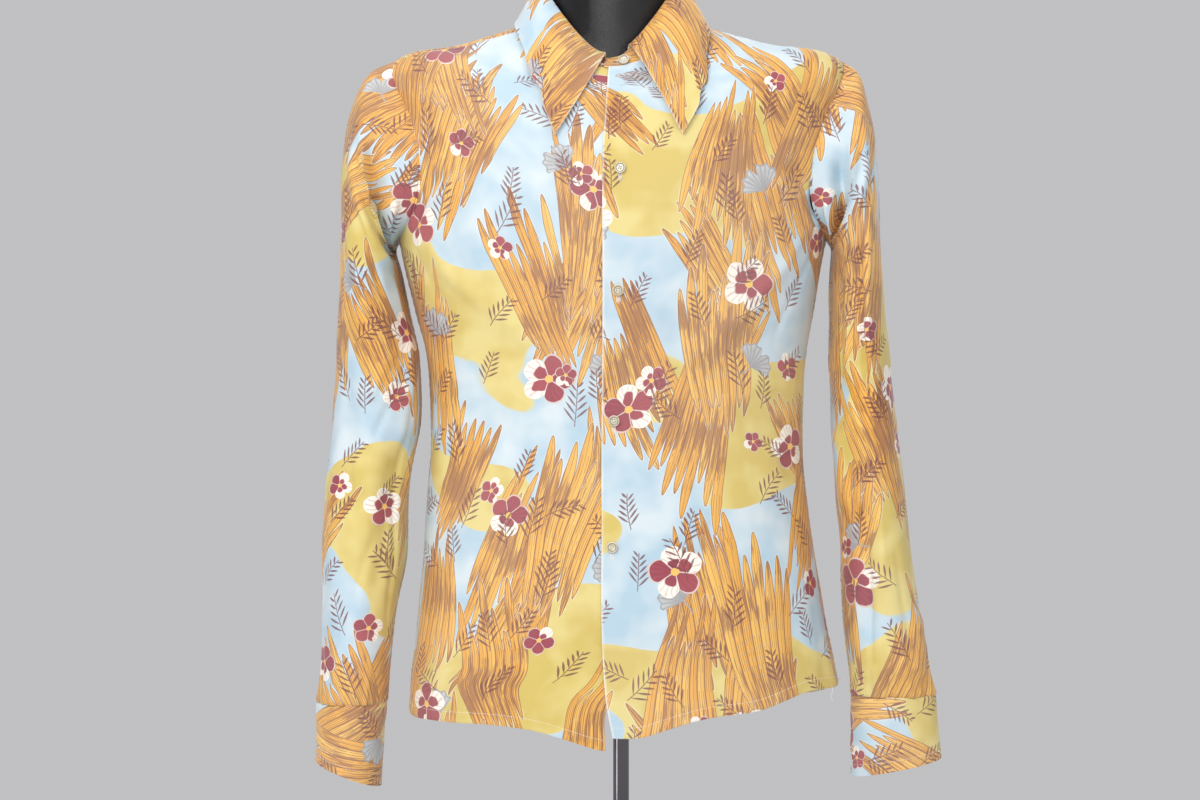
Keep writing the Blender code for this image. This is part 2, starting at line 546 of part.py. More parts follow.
def cuff(side):
    """The cuff's surface: turn runs past a whole round where its upper end laps; down is 0 to 1."""
    top, low = {name: SLEEVES[side][name][-1] for name in SLEEVES[side]}, CUFFS[side]

    def surface(turn, down):
        turn, down = np.broadcast_arrays(np.asarray(turn, float), np.asarray(down, float))
        inward = (1 + np.cos(turn)) / 2
        lapped = ramp((turn - math.radians(CUFF_LAP_FROM + 360 - 20)) / math.radians(24)) * CUFF_LAP_DEPTH
        x_top = top["outer_x"] + (top["inner_x"] - top["outer_x"]) * inward
        z_top = top["outer_z"] + (top["inner_z"] - top["outer_z"]) * inward - SEAM
        x_low = low["outer"][0] + (low["inner"][0] - low["outer"][0]) * inward
        z_low = low["outer"][1] + (low["inner"][1] - low["outer"][1]) * inward
        depth = top["half_depth"] + (low["half_depth"] - top["half_depth"]) * down + lapped
        x = x_top + (x_low - x_top) * down - side * lapped * np.cos(turn)
        y = top["centre_y"] + (low["centre_y"] - top["centre_y"]) * down - depth * np.sin(turn)
        return np.stack([x, y, z_top + (z_low - z_top) * down], -1)

    return surface


def add_cuff(name, side, finish, steps=34, rows=3):
    surface = cuff(side)
    turn = np.radians(np.linspace(CUFF_LAP_FROM, CUFF_LAP_FROM + 360 + CUFF_LAP, steps + 1))[None, :]
    down = np.linspace(0, 1, rows + 1)[:, None]
    return wall(name, surface(turn, down), normals(surface, turn, down, -side), finish)


def band(angle, up):
    """The collar band's outer face, from the neckline (up = 0) to its upper edge (up = 1).

    The angle runs down from its right end, under, at the front, round the back to its left end, over."""
    angle, up = np.broadcast_arrays(np.asarray(angle, float), np.asarray(up, float))
    past = np.degrees(angle - band_angle(BAND_OVER_X))
    under = (LAP_DEPTH * ramp((past + 16) / 15) * (angle > FRONT - math.pi))[..., None]
    low = body(angle, NECKLINE) - body_normals(angle, NECKLINE) * under
    away = np.degrees(np.abs((angle - FRONT + math.pi) % (2 * math.pi) - math.pi))
    x, y = oval(angle, **BAND_TOP)
    high = np.stack([x, y, glide(away, BAND_TOP_Z["away"], BAND_TOP_Z["z"])], -1)
    high = high - np.stack([np.cos(angle), np.sin(angle), 0 * angle], -1) * under
    rise = high - low
    low = low + rise / np.linalg.norm(rise, axis=-1, keepdims=True) * BAND_SEAM
    return low + (high - low) * up[..., None]


def band_angle(x):
    """Angle on the band's upper edge, at the front, that has this x."""
    return FRONT + math.asin((x - BAND_TOP["centre"]) / BAND_TOP["half"])


def band_normals(angle, up):
    return normals(band, angle, up)


def neck_seam_normals(angle, outward):
    """Half way between the shirt's normals at the neckline and the band's, so that both edges lie alike."""
    both = outward + band_normals(angle, np.zeros_like(angle))
    return both / np.linalg.norm(both, axis=-1, keepdims=True)


def add_band(name, finish, steps=38, rows=2):
    angle = np.linspace(band_angle(BAND_UNDER_X), band_angle(BAND_OVER_X) - 2 * math.pi, steps + 1)[None, :]
    up = np.linspace(0, 1, rows + 1)[:, None]
    outward = band_normals(angle, up)
    outward[0] = neck_seam_normals(angle[0], body_normals(angle[0], NECKLINE))
    return wall(name, band(angle, up), outward, finish)


def leaf_edge(side, share):
    """The leaf's outer edge, laid on the shirt and moved out, by share of the way to the centre back."""
    rows = LEAF_EDGES[side]
    places = np.array([on_front(x, z) for x, z in zip(rows["x"], rows["z"])])
    shares = np.concatenate([rows["share"], LEAF_SHOULDER["share"]])
    away = np.concatenate([np.abs(places[:, 0] - FRONT), np.radians(LEAF_SHOULDER["away"])])
    levels = np.concatenate([places[:, 1], LEAF_SHOULDER["level"]])
    angle, level = FRONT + side * glide(share, shares, away), glide(share, shares, levels)
    return body(angle, level) + body_normals(angle, level) * (LEAF_OFF + WALL)


def leaf_half(side, columns, arc_steps=5, fall_steps=5):
    """Grid of half the leaf's visible face: rows from the band over the fold to the edge."""
    share = np.linspace(0, 1, columns + 1) ** 1.15
    start = band_angle(LEAF_START_X[side]) - (2 * math.pi if side > 0 else 0)
    end = BACK - 2 * math.pi
    angle = start + (end - start) * share
    out = np.stack([np.cos(angle), np.sin(angle), np.zeros_like(angle)], -1)
    foot = band(angle, np.ones_like(angle)) - out * WALL + (0, 0, LEAF_SEAM)
    rows = [foot]
    bend = np.radians(np.linspace(0, LEAF_BEND, arc_steps + 1))
    middle = foot + out * LEAF_ROLL + (0, 0, LEAF_RISE)
    for b in bend:
        rows.append(middle + LEAF_ROLL * (-math.cos(b) * out + math.sin(b) * np.array([0, 0, 1])))
    edge = leaf_edge(side, share)
    top = rows[-1]
    tangent = math.sin(bend[-1]) * out + math.cos(bend[-1]) * np.array([0, 0, 1])
    reach = np.linalg.norm(edge - top, axis=-1, keepdims=True)
    pull = top + tangent * reach * LEAF_ROUND
    for f in np.linspace(0, 1, fall_steps + 1)[1:]:
        rows.append((1 - f) ** 2 * top + 2 * f * (1 - f) * pull + f * f * edge)
    return np.stack(rows)


def add_leaf(name, finish, columns=13):
    right, left = leaf_half(-1, columns), leaf_half(1, columns)
    points = np.concatenate([right, left[:, -2::-1]], axis=1)
    outward = grid_normals(points)
    middle = points[len(points) // 2, :, :] - (BAND_TOP["centre"], 0, 0)
    if (outward[len(points) // 2] * middle).sum() < 0:
        outward = -outward
    return wall(name, points, outward, finish)


def stand_on(spot, outward):
    """The matrix that puts a piece drawn about Z at a spot, with Z along outward."""
    matrix = Vector(outward).to_track_quat("Z", "Y").to_matrix().to_4x4()
    matrix.translation = Vector(spot)
    return matrix


def add_button(name, spot, outward, finish, off=BUTTON_OFF, steps=16):
    """A round button with a raised rim and a dished face, its underside just off the cloth."""
    r, t = BUTTON_RADIUS, BUTTON_THICKNESS
    made = turned(name, ((0, 0), (r * 0.85, 0), (r, t * 0.4), (r, t * 0.75), (r - BUTTON_RIM * 0.5, t),
                         (r - BUTTON_RIM * 1.5, t * 0.7), (0, t * 0.66)), finish, steps)
    made.matrix_world = stand_on(spot + outward * off, outward)


# ---- what the shirt is worn on

def plain_body(angle, level):
    return body(angle, level, folded=False)


def add_form(name, finish, low_rows=8, high_rows=13):
    """The limbless torso: the shirt's sections moved in, then the neck, and a socket for the pole below."""
    angle = np.arange(ROUND_STEPS) * 2 * math.pi / ROUND_STEPS
    levels = np.concatenate([np.linspace(FORM_BOTTOM, ARMHOLE["base"], low_rows, endpoint=False),
                             np.linspace(ARMHOLE["base"], NECKLINE, high_rows)])
    frontward = np.clip(-np.sin(angle), 0, 1) ** 4
    socket_top = FORM_BOTTOM + POLE_DEPTH_IN_FORM
    rings = [socket_ring(socket_top, 0), socket_ring(socket_top, 1), socket_ring(FORM_BOTTOM, 1)]
    for level in levels:
        inset = glide(level, BODY["level"], BODY["clear"]) + FRONT_CLEARANCE * frontward
        outward = normals(plain_body, angle, min(level, NECKLINE - STEP))
        rings.append(plain_body(angle, level) - outward * inset[:, None])
    rings[-1] = rings[-1] - np.stack([np.cos(angle), np.sin(angle), 0 * angle], -1) * NECK_CLEARANCE
    rings[3][:, 2] = FORM_BOTTOM + FORM_EDGE
    rings.insert(3, (rings[3] - (0, 0, FORM_EDGE)) * (*FORM_BOTTOM_INSET, 1))
    away = np.degrees(np.abs((angle - FRONT + math.pi) % (2 * math.pi) - math.pi))
    band_top = glide(away, BAND_TOP_Z["away"], BAND_TOP_Z["z"])
    top, edge = NECK_TOP, FORM_EDGE
    for inward, z in ((-0.0015, band_top - 0.004), (0, NECK_PLAIN), (0, top - edge),
                      (edge * 0.3, top - edge * 0.3), (edge, top)):
        half, front, back = (NECK[name] - inward for name in ("half", "front", "back"))
        x, y = oval(angle, half, NECK["centre"], front, back)
        rings.append(np.stack([x, y, np.broadcast_to(z, x.shape)], -1))
    rings.append(np.array([[NECK["centre"], 0, NECK_TOP]]))
    counts = np.cumsum([0] + [len(ring) for ring in rings])
    numbers = [np.arange(first, last) for first, last in zip(counts, counts[1:])]
    return add(name, np.concatenate(rings), stitch(numbers), finish)


def socket_ring(z, out):
    """A ring of the socket round the pole, or the point at its end when out is 0."""
    angle = np.arange(ROUND_STEPS if out else 1) * 2 * math.pi / ROUND_STEPS
    radius = (POLE_RADIUS + SEAM) * out
    return np.stack([radius * np.cos(angle), radius * np.sin(angle), np.full(len(angle), z)], -1)


def add_pole(name, finish):
    top = FORM_BOTTOM + POLE_DEPTH_IN_FORM - SEAM
    bevel = 0.0008
    return turned(name, ((0, POLE_FOOT), (POLE_RADIUS - bevel, POLE_FOOT), (POLE_RADIUS, POLE_FOOT + bevel),
                         (POLE_RADIUS, top - bevel), (POLE_RADIUS - bevel, top), (0, top)), finish)


def add_foot(name, finish):
    bore = POLE_RADIUS + SEAM
    profile = [(0, 0), (FOOT_RADIUS - 0.001, 0), (FOOT_RADIUS, 0.001), (FOOT_RADIUS, FOOT_RIM)]
    for turn in np.radians((30, 60, 90)):
        profile.append((FOOT_RADIUS - 0.004 * (1 - math.cos(turn)), FOOT_RIM + 0.004 * math.sin(turn)))
    profile += [(BOSS_RADIUS + 0.008, FOOT_THICKNESS), (BOSS_RADIUS + 0.002, FOOT_THICKNESS + 0.002),
                (BOSS_RADIUS, FOOT_THICKNESS + 0.006), (BOSS_RADIUS, BOSS_HEIGHT - 0.003),
                (BOSS_RADIUS - 0.0025, BOSS_HEIGHT), (bore, BOSS_HEIGHT), (bore, POLE_FOOT - SEAM),
                (0, POLE_FOOT - SEAM)]
    return turned(name, profile, finish)


# ---- the whole

def clear_scene():
    for thing in list(bpy.data.objects):
        bpy.data.objects.remove(thing)


def build():
    clear_scene()
    for side, word in ((1, "left"), (-1, "right")):
        angles, levels = front_grid(side)
        outward = body_normals(angles, levels)
        points = body(angles, levels)
        if side < 0:
            points = points - outward * lap(angles, levels)[..., None]
        outward[-1] = neck_seam_normals(angles[-1] - (2 * math.pi if side > 0 else 0), outward[-1])
        wall(f"front_{word}", points, outward, material(f"front_{word}", CLOTH, 0.6))
        add_sleeve(f"sleeve_{word}", side, material(f"sleeve_{word}", CLOTH, 0.6))
        add_cuff(f"cuff_{word}", side, material(f"cuff_{word}", CLOTH, 0.6))
    for name, grid in (("back", back_grid()), ("yoke", yoke_grid())):
        outward = body_normals(*grid)
        if name == "yoke":
            outward[-1] = neck_seam_normals(grid[0][-1] - 2 * math.pi, outward[-1])
        wall(name, body(*grid), outward, material(name, CLOTH, 0.6))
    add_band("collar_stand", material("collar_stand", CLOTH, 0.6))
    add_leaf("collar_leaf", material("collar_leaf", CLOTH, 0.6))

    pearl = material("button", (0.86, 0.83, 0.74), 0.25)
    place = np.array(band_angle(COLLAR_BUTTON_X) - 2 * math.pi), np.array(0.5)
    add_button("button_1", band(*place), band_normals(*place), pearl, COLLAR_BUTTON_OFF)
    for k, (x, z) in enumerate(zip(FRONT_BUTTONS["x"], FRONT_BUTTONS["z"])):
        place = on_front(x, z)
        add_button(f"button_{k + 2}", body(*place), body_normals(*place), pearl)
    for side, word in ((1, "left"), (-1, "right")):
        surface = cuff(side)
        turn, down = np.array(math.radians(CUFF_LAP_FROM + 360 + CUFF_LAP * 0.62)), np.array(0.5)
        add_button(f"button_cuff_{word}", surface(turn, down), normals(surface, turn, down, -side), pearl)

    add_form("dress_form", material("dress_form", (0.012, 0.012, 0.014), 0.2))
    add_pole("pole", material("pole", (0.75, 0.75, 0.76), 0.12, 1.0))
    add_foot("base", material("base", (0.6, 0.6, 0.62), 0.2, 1.0))


build()
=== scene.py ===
# A long-sleeved printed shirt with a large pointed collar, on a limbless dress form with a pole and a foot.
# Metres, +Z up; the front faces -Y. Sides are the wearer's: left is +X. Angles run round from the left side.
import math

import bpy
import numpy as np
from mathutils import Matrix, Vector


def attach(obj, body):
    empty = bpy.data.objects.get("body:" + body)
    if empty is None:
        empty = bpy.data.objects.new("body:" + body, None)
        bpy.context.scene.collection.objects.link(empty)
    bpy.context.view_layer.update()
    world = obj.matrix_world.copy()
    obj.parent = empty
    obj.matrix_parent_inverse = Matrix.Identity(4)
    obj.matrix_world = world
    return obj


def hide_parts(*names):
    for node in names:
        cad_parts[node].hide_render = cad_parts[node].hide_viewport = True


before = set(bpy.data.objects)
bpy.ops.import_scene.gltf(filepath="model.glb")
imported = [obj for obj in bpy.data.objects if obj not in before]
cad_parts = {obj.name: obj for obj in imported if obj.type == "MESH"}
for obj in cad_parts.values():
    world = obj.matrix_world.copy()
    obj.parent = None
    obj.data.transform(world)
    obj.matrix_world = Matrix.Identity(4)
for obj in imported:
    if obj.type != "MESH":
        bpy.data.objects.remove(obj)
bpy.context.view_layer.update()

step = 1e-5                             # how far a slope's two points lie from its middle
fullTurn = 2 * math.pi
front, back = -math.pi / 2, math.pi / 2


def columnsOf(names, *rows):            # a table with named columns; a short row ends in noughts
    names = names.split()
    return dict(zip(names, np.array([row + (0,) * (len(names) - len(row)) for row in rows], float).T))


def curveThrough(at, xs, ys):           # cubic through points, each point's slope the mean of those beside it
    at = np.clip(at, xs[0], xs[-1])
    slope = np.diff(ys) / np.diff(xs)
    slopes = np.concatenate([slope[:1], (slope[1:] + slope[:-1]) / 2, slope[-1:]])
    i = np.clip(np.searchsorted(xs, at, side="right") - 1, 0, len(xs) - 2)
    span = xs[i + 1] - xs[i]
    f = (at - xs[i]) / span
    low = (1 + 2 * f) * (1 - f) ** 2 * ys[i] + f * (1 - f) ** 2 * span * slopes[i]
    return low + f * f * (3 - 2 * f) * ys[i + 1] + f * f * (f - 1) * span * slopes[i + 1]


def ease(value):                        # 0 to 1 with level ends: 3v^2 - 2v^3
    value = np.clip(value, 0, 1)
    return value * value * (3 - 2 * value)


def unit(vectors):
    return vectors / np.linalg.norm(vectors, axis=-1, keepdims=True)


def mix(a, b, share):
    return a + (b - a) * share


def bell(distance, width):              # 1 on a line and falling off on both sides of it: exp(-(d / w)^2)
    return np.exp(-(distance / width) ** 2)


def ringAngles(count):
    return np.arange(count) * fullTurn / count


def aroundZero(angle):                  # the same angle, within half a turn of zero
    return (angle + math.pi) % fullTurn - math.pi


def sameShape(*values):
    return np.broadcast_arrays(*(np.asarray(value, float) for value in values))


def readTable(table, at, name):         # a table's column, read at values of its first column
    return curveThrough(at, next(iter(table.values())), table[name])


def nearEnds(count, length, near=(0, 0.0004, 0.001, 0.0019, 0.0032, 0.0050)):
    near = np.array(near) / length      # shares of a length, closer together by both ends
    inner = np.linspace(near[-1], 1 - near[-1], count)[1:-1]
    return np.concatenate([near, inner, 1 - near[::-1]])


# A fold is a bell across its line, height * exp(-(off / width)^2), that fades in and out along it. Its line
# bows by bend, and its lean makes one flank steeper than the other.
def foldHeights(across, along, folds, fade=0.3):
    total = np.zeros(np.broadcast(across, along).shape)
    for x0, y0, x1, y1, width, height, bend, lean in zip(*folds.values()):
        length = math.hypot(x1 - x0, y1 - y0)
        wx, wy = (x1 - x0) / length, (y1 - y0) / length
        share = ((across - x0) * wx + (along - y0) * wy) / length
        off = (across - x0) * wy - (along - y0) * wx - bend * 4 * share * (1 - share)
        off = off / (width * (1 + lean * np.tanh(off / width)))
        ends = ease(share / fade + 0.5) * ease((1 - share) / fade + 0.5)
        total += height * np.exp(-off * off) * ends
    return total


def foldTable(radius, *rows):           # x0 and x1 are given in degrees round a radius, and kept in metres
    folds = columnsOf("x0 y0 x1 y1 width height bend lean", *rows)
    return folds | {name: np.radians(folds[name]) * radius for name in ("x0", "x1")}


def softWaves(x, y, waves):             # small sum of sines, so that no stretch of cloth is quite even
    total = 0
    for reach, slant, phase, height in waves:
        total = total + height * np.sin((x * math.cos(slant) + y * math.sin(slant)) * fullTurn / reach + phase)
    return total


# The shirt's outer face: cloth thickness, the gaps at its seams, the front's lap, and the levels it is built on.
shirt = dict(cloth=0.00045, doubled=0.0010, seam=0.0003, lapDepth=0.0021, lapFade=0.022, planeLevel=0.935,
             shoulderLevel=1.452, neckLevel=1.600, bodyRadius=0.16, sleeveRadius=0.05)

body = columnsOf(
    "level sideZ frontZ backZ half   centre  front  back   power clear",
    (0.800, 0.800, 0.800, 0.800, 0.2060, 0.0035, 0.100, 0.103, 2.15, 0.016),
    (0.874, 0.874, 0.874, 0.874, 0.2024, 0.0030, 0.101, 0.106, 2.20, 0.014),
    (0.950, 0.950, 0.950, 0.950, 0.1910, 0.0000, 0.103, 0.108, 2.20, 0.011),
    (1.045, 1.045, 1.045, 1.045, 0.1796, -0.0040, 0.099, 0.096, 2.20, 0.012),
    (1.112, 1.112, 1.112, 1.112, 0.1758, -0.0040, 0.098, 0.090, 2.20, 0.014),
    (1.188, 1.188, 1.188, 1.188, 0.1805, -0.0045, 0.104, 0.097, 2.20, 0.012),
    (1.226, 1.226, 1.226, 1.226, 0.1890, -0.0067, 0.109, 0.102, 2.25, 0.010),
    (1.283, 1.283, 1.283, 1.283, 0.2010, -0.0080, 0.113, 0.108, 2.30, 0.008),
    (1.345, 1.345, 1.338, 1.345, 0.2075, -0.0060, 0.112, 0.112, 2.30, 0.0070),
    (1.410, 1.410, 1.376, 1.396, 0.2110, -0.0040, 0.107, 0.110, 2.25, 0.0056),
    (1.455, 1.455, 1.405, 1.436, 0.2150, -0.0028, 0.100, 0.103, 2.15, 0.0040),
    (1.462, 1.462, 1.411, 1.442, 0.2095, -0.0025, 0.098, 0.101, 2.12, 0.0038),
    (1.530, 1.4775, 1.430, 1.475, 0.1450, -0.0060, 0.091, 0.085, 2.05, 0.0027),
    (1.600, 1.496, 1.446, 1.506, 0.0790, -0.0115, 0.083, 0.068, 2.00, 0.0034),
)
# Large folds: x is the angle in degrees, y the level.
bodyFolds = foldTable(
    shirt["bodyRadius"],
    (-38, 1.262, -72, 1.175, 0.012, 0.0030),
    (-142, 1.262, -112, 1.190, 0.012, 0.0030),
    (-152, 1.080, -122, 1.120, 0.014, -0.0028),
    (-24, 1.075, -52, 1.130, 0.014, -0.0028),
    (60, 1.120, 118, 1.090, 0.016, 0.0034),
    (35, 1.250, 62, 1.150, 0.013, 0.0030),
    (146, 1.255, 120, 1.160, 0.013, 0.0030),
)
# Creases: short soft ridges and troughs, given one by one, uneven in length, depth and spacing.
bodyCreases = foldTable(
    shirt["bodyRadius"],
    (-150, 1.300, -128, 1.235, 0.0060, 0.0011, 0.004, 0.3),
    (-156, 1.282, -140, 1.205, 0.0050, -0.0012, -0.003),
    (-140, 1.245, -118, 1.205, 0.0055, -0.0008, 0.003, 0.2),
    (-30, 1.298, -52, 1.232, 0.0060, 0.0011, -0.004, 0.3),
    (-22, 1.280, -38, 1.200, 0.0050, -0.0012, 0.003),
    (-44, 1.240, -64, 1.208, 0.0055, -0.0007, 0.002, 0.2),
    (-43, 1.360, -25, 1.309, 0.0075, -0.0048, -0.003, -0.2),
    (-47, 1.345, -27, 1.296, 0.0048, 0.0026, -0.003, 0.3),
    (-137, 1.352, -153, 1.305, 0.0070, -0.0034, 0.003, -0.2),
    (-133, 1.338, -151, 1.292, 0.0046, 0.0020, 0.003, 0.3),
    (-128, 1.400, -112, 1.345, 0.0080, -0.0009, 0.004),
    (-50, 1.395, -66, 1.340, 0.0080, -0.0009, -0.004),
    (-104, 1.352, -96, 1.345, 0.0040, 0.0006),
    (-85, 1.236, -70, 1.222, 0.0035, 0.0006, 0.002, 0.2),
    (-97, 1.240, -112, 1.229, 0.0035, 0.0006, 0.002, 0.2),
    (-86, 1.118, -68, 1.108, 0.0036, 0.0007, 0.002, 0.2),
    (-98, 1.124, -116, 1.119, 0.0036, 0.0006, -0.002, 0.2),
    (-86, 1.004, -72, 0.990, 0.0036, 0.0006, 0.002, 0.2),
    (-99, 1.006, -112, 0.994, 0.0036, 0.0007, 0.002, 0.2),
    (-160, 1.140, -132, 1.150, 0.0055, 0.0013, 0.004, 0.3),
    (-168, 1.108, -140, 1.092, 0.0050, 0.0012, -0.003, 0.2),
    (-164, 1.060, -138, 1.075, 0.0060, 0.0010, 0.003, 0.2),
    (-20, 1.145, -46, 1.152, 0.0055, 0.0012, 0.004, 0.3),
    (-12, 1.104, -42, 1.090, 0.0050, 0.0013, -0.003, 0.2),
    (-18, 1.058, -44, 1.072, 0.0060, 0.0010, 0.003, 0.2),
    (-150, 0.850, -146, 1.000, 0.0150, 0.0016, 0.004),
    (-128, 0.840, -130, 0.960, 0.0120, -0.0012),
    (-112, 0.835, -108, 0.945, 0.0120, 0.0009),
    (-66, 0.830, -70, 0.950, 0.0130, -0.0010),
    (-46, 0.850, -42, 0.990, 0.0150, 0.0014, -0.004),
    (-24, 0.860, -20, 0.970, 0.0120, -0.0012),
    (-104, 1.190, -112, 1.060, 0.0160, -0.0007, 0.005),
    (-74, 1.200, -66, 1.050, 0.0160, -0.0007, -0.005),
    (52, 1.134, 96, 1.128, 0.0060, 0.0014, 0.006, 0.3),
    (72, 1.105, 126, 1.112, 0.0060, -0.0013, -0.005, 0.2),
    (84, 1.072, 132, 1.060, 0.0070, 0.0014, 0.006, 0.3),
    (40, 1.080, 74, 1.062, 0.0060, 0.0012, 0.004, 0.2),
    (30, 1.290, 52, 1.215, 0.0060, 0.0013, 0.004, 0.3),
    (24, 1.268, 40, 1.190, 0.0055, -0.0012, 0.003),
    (150, 1.290, 130, 1.210, 0.0060, 0.0013, -0.004, 0.3),
    (156, 1.265, 142, 1.190, 0.0055, -0.0012, -0.003),
    (62, 1.390, 78, 1.300, 0.0120, 0.0012, 0.004),
    (116, 1.395, 104, 1.300, 0.0120, 0.0012, -0.004),
    (34, 0.850, 38, 0.990, 0.0150, 0.0017),
    (58, 0.845, 62, 0.975, 0.0130, -0.0014),
    (84, 0.840, 86, 1.000, 0.0160, 0.0018, 0.004),
    (112, 0.845, 108, 0.970, 0.0130, -0.0014),
    (140, 0.860, 136, 1.000, 0.0150, 0.0016),
)
bodyWaves = ((0.115, 0.35, 0.4, 0.00034), (0.083, 1.25, 2.1, 0.00026), (0.061, -0.6, 4.0, 0.00016),
             (0.150, 2.3, 1.2, 0.00036), (0.037, 0.9, 0.7, 0.00007))

hole = dict(base=1.2915, tip=1.462, front=math.radians(30), back=math.radians(27), skew=0.3, grow=0.0004,
            frontSeam={1: 165, -1: 150}, backSeam=120, neckAngle={1: math.radians(-7.5), -1: math.radians(201)},
            backRise=0.026)
holeMiddle, holeReach = (hole["tip"] + hole["base"]) / 2, (hole["tip"] - hole["base"]) / 2
edgeLeft = columnsOf("level x", (0.832, -0.0082), (0.867, -0.0145), (1.049, -0.0182), (1.231, -0.0173),
                     (1.400, -0.0170), (1.462, -0.0145), (1.600, -0.0117))
edgeRight = columnsOf("level x", (0.8200, -0.0155), (0.860, -0.0138), (0.880, 0.0000), (0.910, 0.0100),
                      (1.600, 0.0100))
hemLeft = columnsOf("away z", (-4, 0.8322), (3, 0.8325), (9, 0.8395), (18, 0.8485), (36, 0.8560),
                    (46, 0.8645), (55, 0.8700), (79, 0.8710), (90, 0.8725))
hemRight = columnsOf("away z", (-4, 0.8190), (4, 0.8200), (14, 0.8305), (23, 0.8385), (57, 0.8430),
                     (78, 0.8440), (90, 0.8490))
hemBack = columnsOf("away z", (-90, 0.8490), (-60, 0.8450), (0, 0.8430), (60, 0.8560), (90, 0.8725))


# A superellipse whose front and back differ in depth: x = centre + half * cos^(2/p), y = depth * sin^(2/p).
def ovalAt(angle, half, centre, front, back, power=2.0):
    c, s = np.cos(angle), np.sin(angle)
    x = centre + half * np.sign(c) * np.abs(c) ** (2 / power)
    return x, np.where(s < 0, front, back) * np.sign(s) * np.abs(s) ** (2 / power)


def bodyAt(angle, level, folded=True):  # oval section at the level, its front and back dipping by sin^2
    angle, level = sameShape(angle, level)
    row = {name: readTable(body, level, name) for name in body}
    x, y = ovalAt(angle, row["half"], row["centre"], row["front"], row["back"], row["power"])
    c, s = np.cos(angle), np.sin(angle)
    z = row["sideZ"] + (np.where(s < 0, row["frontZ"], row["backZ"]) - row["sideZ"]) * s * s
    height = foldHeights(aroundZero(angle) * shirt["bodyRadius"], level, bodyFolds) * folded
    return np.stack([x + height * c, y + height * s, z], -1)


def plainAt(angle, level):
    return bodyAt(angle, level, False)


def slopeNormals(surface, u, v, outward=1):     # cross product of the surface's two slopes
    du = surface(u + step, v) - surface(u - step, v)
    dv = surface(u, v + step) - surface(u, v - step)
    return unit(np.cross(du, dv) * outward)


def bodyNormals(angle, level):
    return slopeNormals(bodyAt, angle, np.clip(level, body["level"][0] + step, shirt["neckLevel"] - step))


def angleOfX(x, level):                 # the section's formula solved for the angle
    half, centre, power = (readTable(body, level, name) for name in ("half", "centre", "power"))
    share = (x - centre) / half
    return front + np.arcsin(np.sign(share) * np.abs(share) ** (power / 2))


def onFront(x, z):                      # angle and level of the front's point with this x and z, Newton's steps
    at = np.array([angleOfX(x, z), z + 0.8 * max(z - 1.36, 0)])
    for _ in range(20):
        here = bodyAt(*at)
        slope = np.stack([bodyAt(at[0] + step, at[1]) - here, bodyAt(at[0], at[1] + step) - here], -1)
        at = at - np.clip(np.linalg.solve(slope[[0, 2]] / step, here[[0, 2]] - (x, z)), -0.1, 0.1)
    return at


def holeAt(turn, side, grow=0.0):       # the armhole's skewed oval: angle and level
    widest = np.where(np.sin(turn) > 0, hole["front"], hole["back"]) * (1 + grow)
    swing = widest * np.sin(turn) * (1 + hole["skew"] * np.cos(turn))
    return (-swing if side > 0 else -math.pi + swing), holeMiddle - holeReach * (1 + grow) * np.cos(turn)


def holeDistance(angle, level, side):   # about how far a point lies outside the armhole's line
    swing = aroundZero(-angle if side > 0 else angle + math.pi)
    up = (level - holeMiddle) / holeReach
    widest = np.where(swing > 0, hole["front"], hole["back"]) * (1 - hole["skew"] * np.clip(up, -1, 1))
    out = swing / widest
    far = np.sqrt(up * up + out * out) + 1e-6
    slope = np.hypot(up / holeReach, out / (widest * shirt["bodyRadius"])) / far
    return (far - 1) / np.maximum(slope, 1.0)


finishes, pieces = {}, {}


# A mesh from whole arrays: faceSets are arrays of triangles or quads, cornerUv follows their corners.
def meshObject(name, points, faceSets, finish, cornerUv=None, marks=None, sharp=50):
    mesh = bpy.data.meshes.new(name)
    faceSets = [f for f in faceSets if len(f)]
    corners = np.concatenate([f.ravel() for f in faceSets])
    totals = np.concatenate([np.full(len(f), f.shape[1]) for f in faceSets])
    mesh.vertices.add(len(points))
    mesh.vertices.foreach_set("co", np.asarray(points, np.float32).ravel())
    mesh.loops.add(len(corners))
    mesh.loops.foreach_set("vertex_index", corners.astype(np.int32))
    mesh.polygons.add(len(totals))
    mesh.polygons.foreach_set("loop_start", np.concatenate([[0], np.cumsum(totals)[:-1]]).astype(np.int32))
    mesh.update(calc_edges=True)
    if cornerUv is not None:
        mesh.uv_layers.new(name="cut").data.foreach_set("uv", np.asarray(cornerUv, np.float32).ravel())
    for word, values in (marks or {}).items():
        mesh.attributes.new(word, "FLOAT", "POINT").data.foreach_set("value", values.astype(np.float32))
    mesh.shade_smooth()
    mesh.set_sharp_from_angle(angle=math.radians(sharp))
    mesh.materials.append(finish)
    made = bpy.data.objects.new(name, mesh)
    bpy.context.scene.collection.objects.link(made)
    return made


def onCircle(radius, angles, height):
    return np.stack([radius * np.cos(angles), radius * np.sin(angles), height + 0 * angles], -1)


def closedUp(grid):                     # a grid whose first column comes once more at its end
    return np.concatenate([grid, grid[:, :1]], axis=1)


def quadsOf(numbers):
    return np.stack([numbers[:-1, :-1], numbers[:-1, 1:], numbers[1:, 1:], numbers[1:, :-1]], -1).reshape(-1, 4)


def poleCaps(numbers, low, high):       # fans from the first and the last row to a point each
    count = numbers.shape[1] - 1
    return np.concatenate([np.stack([numbers[0, 1:], numbers[0, :-1], np.full(count, low)], -1),
                           np.stack([numbers[-1, :-1], numbers[-1, 1:], np.full(count, high)], -1)])


def gridArea(points):
    cross = np.cross(points[1:, 1:] - points[:-1, :-1], points[1:, :-1] - points[:-1, 1:])
    return float(np.linalg.norm(cross, axis=-1).sum() / 2)


rimLook = dict(out=0.45, wear=0.7)      # how far an edge bulges, in thicknesses, and how much paler its rim is painted: partly wear, partly a painted highlight on the edge
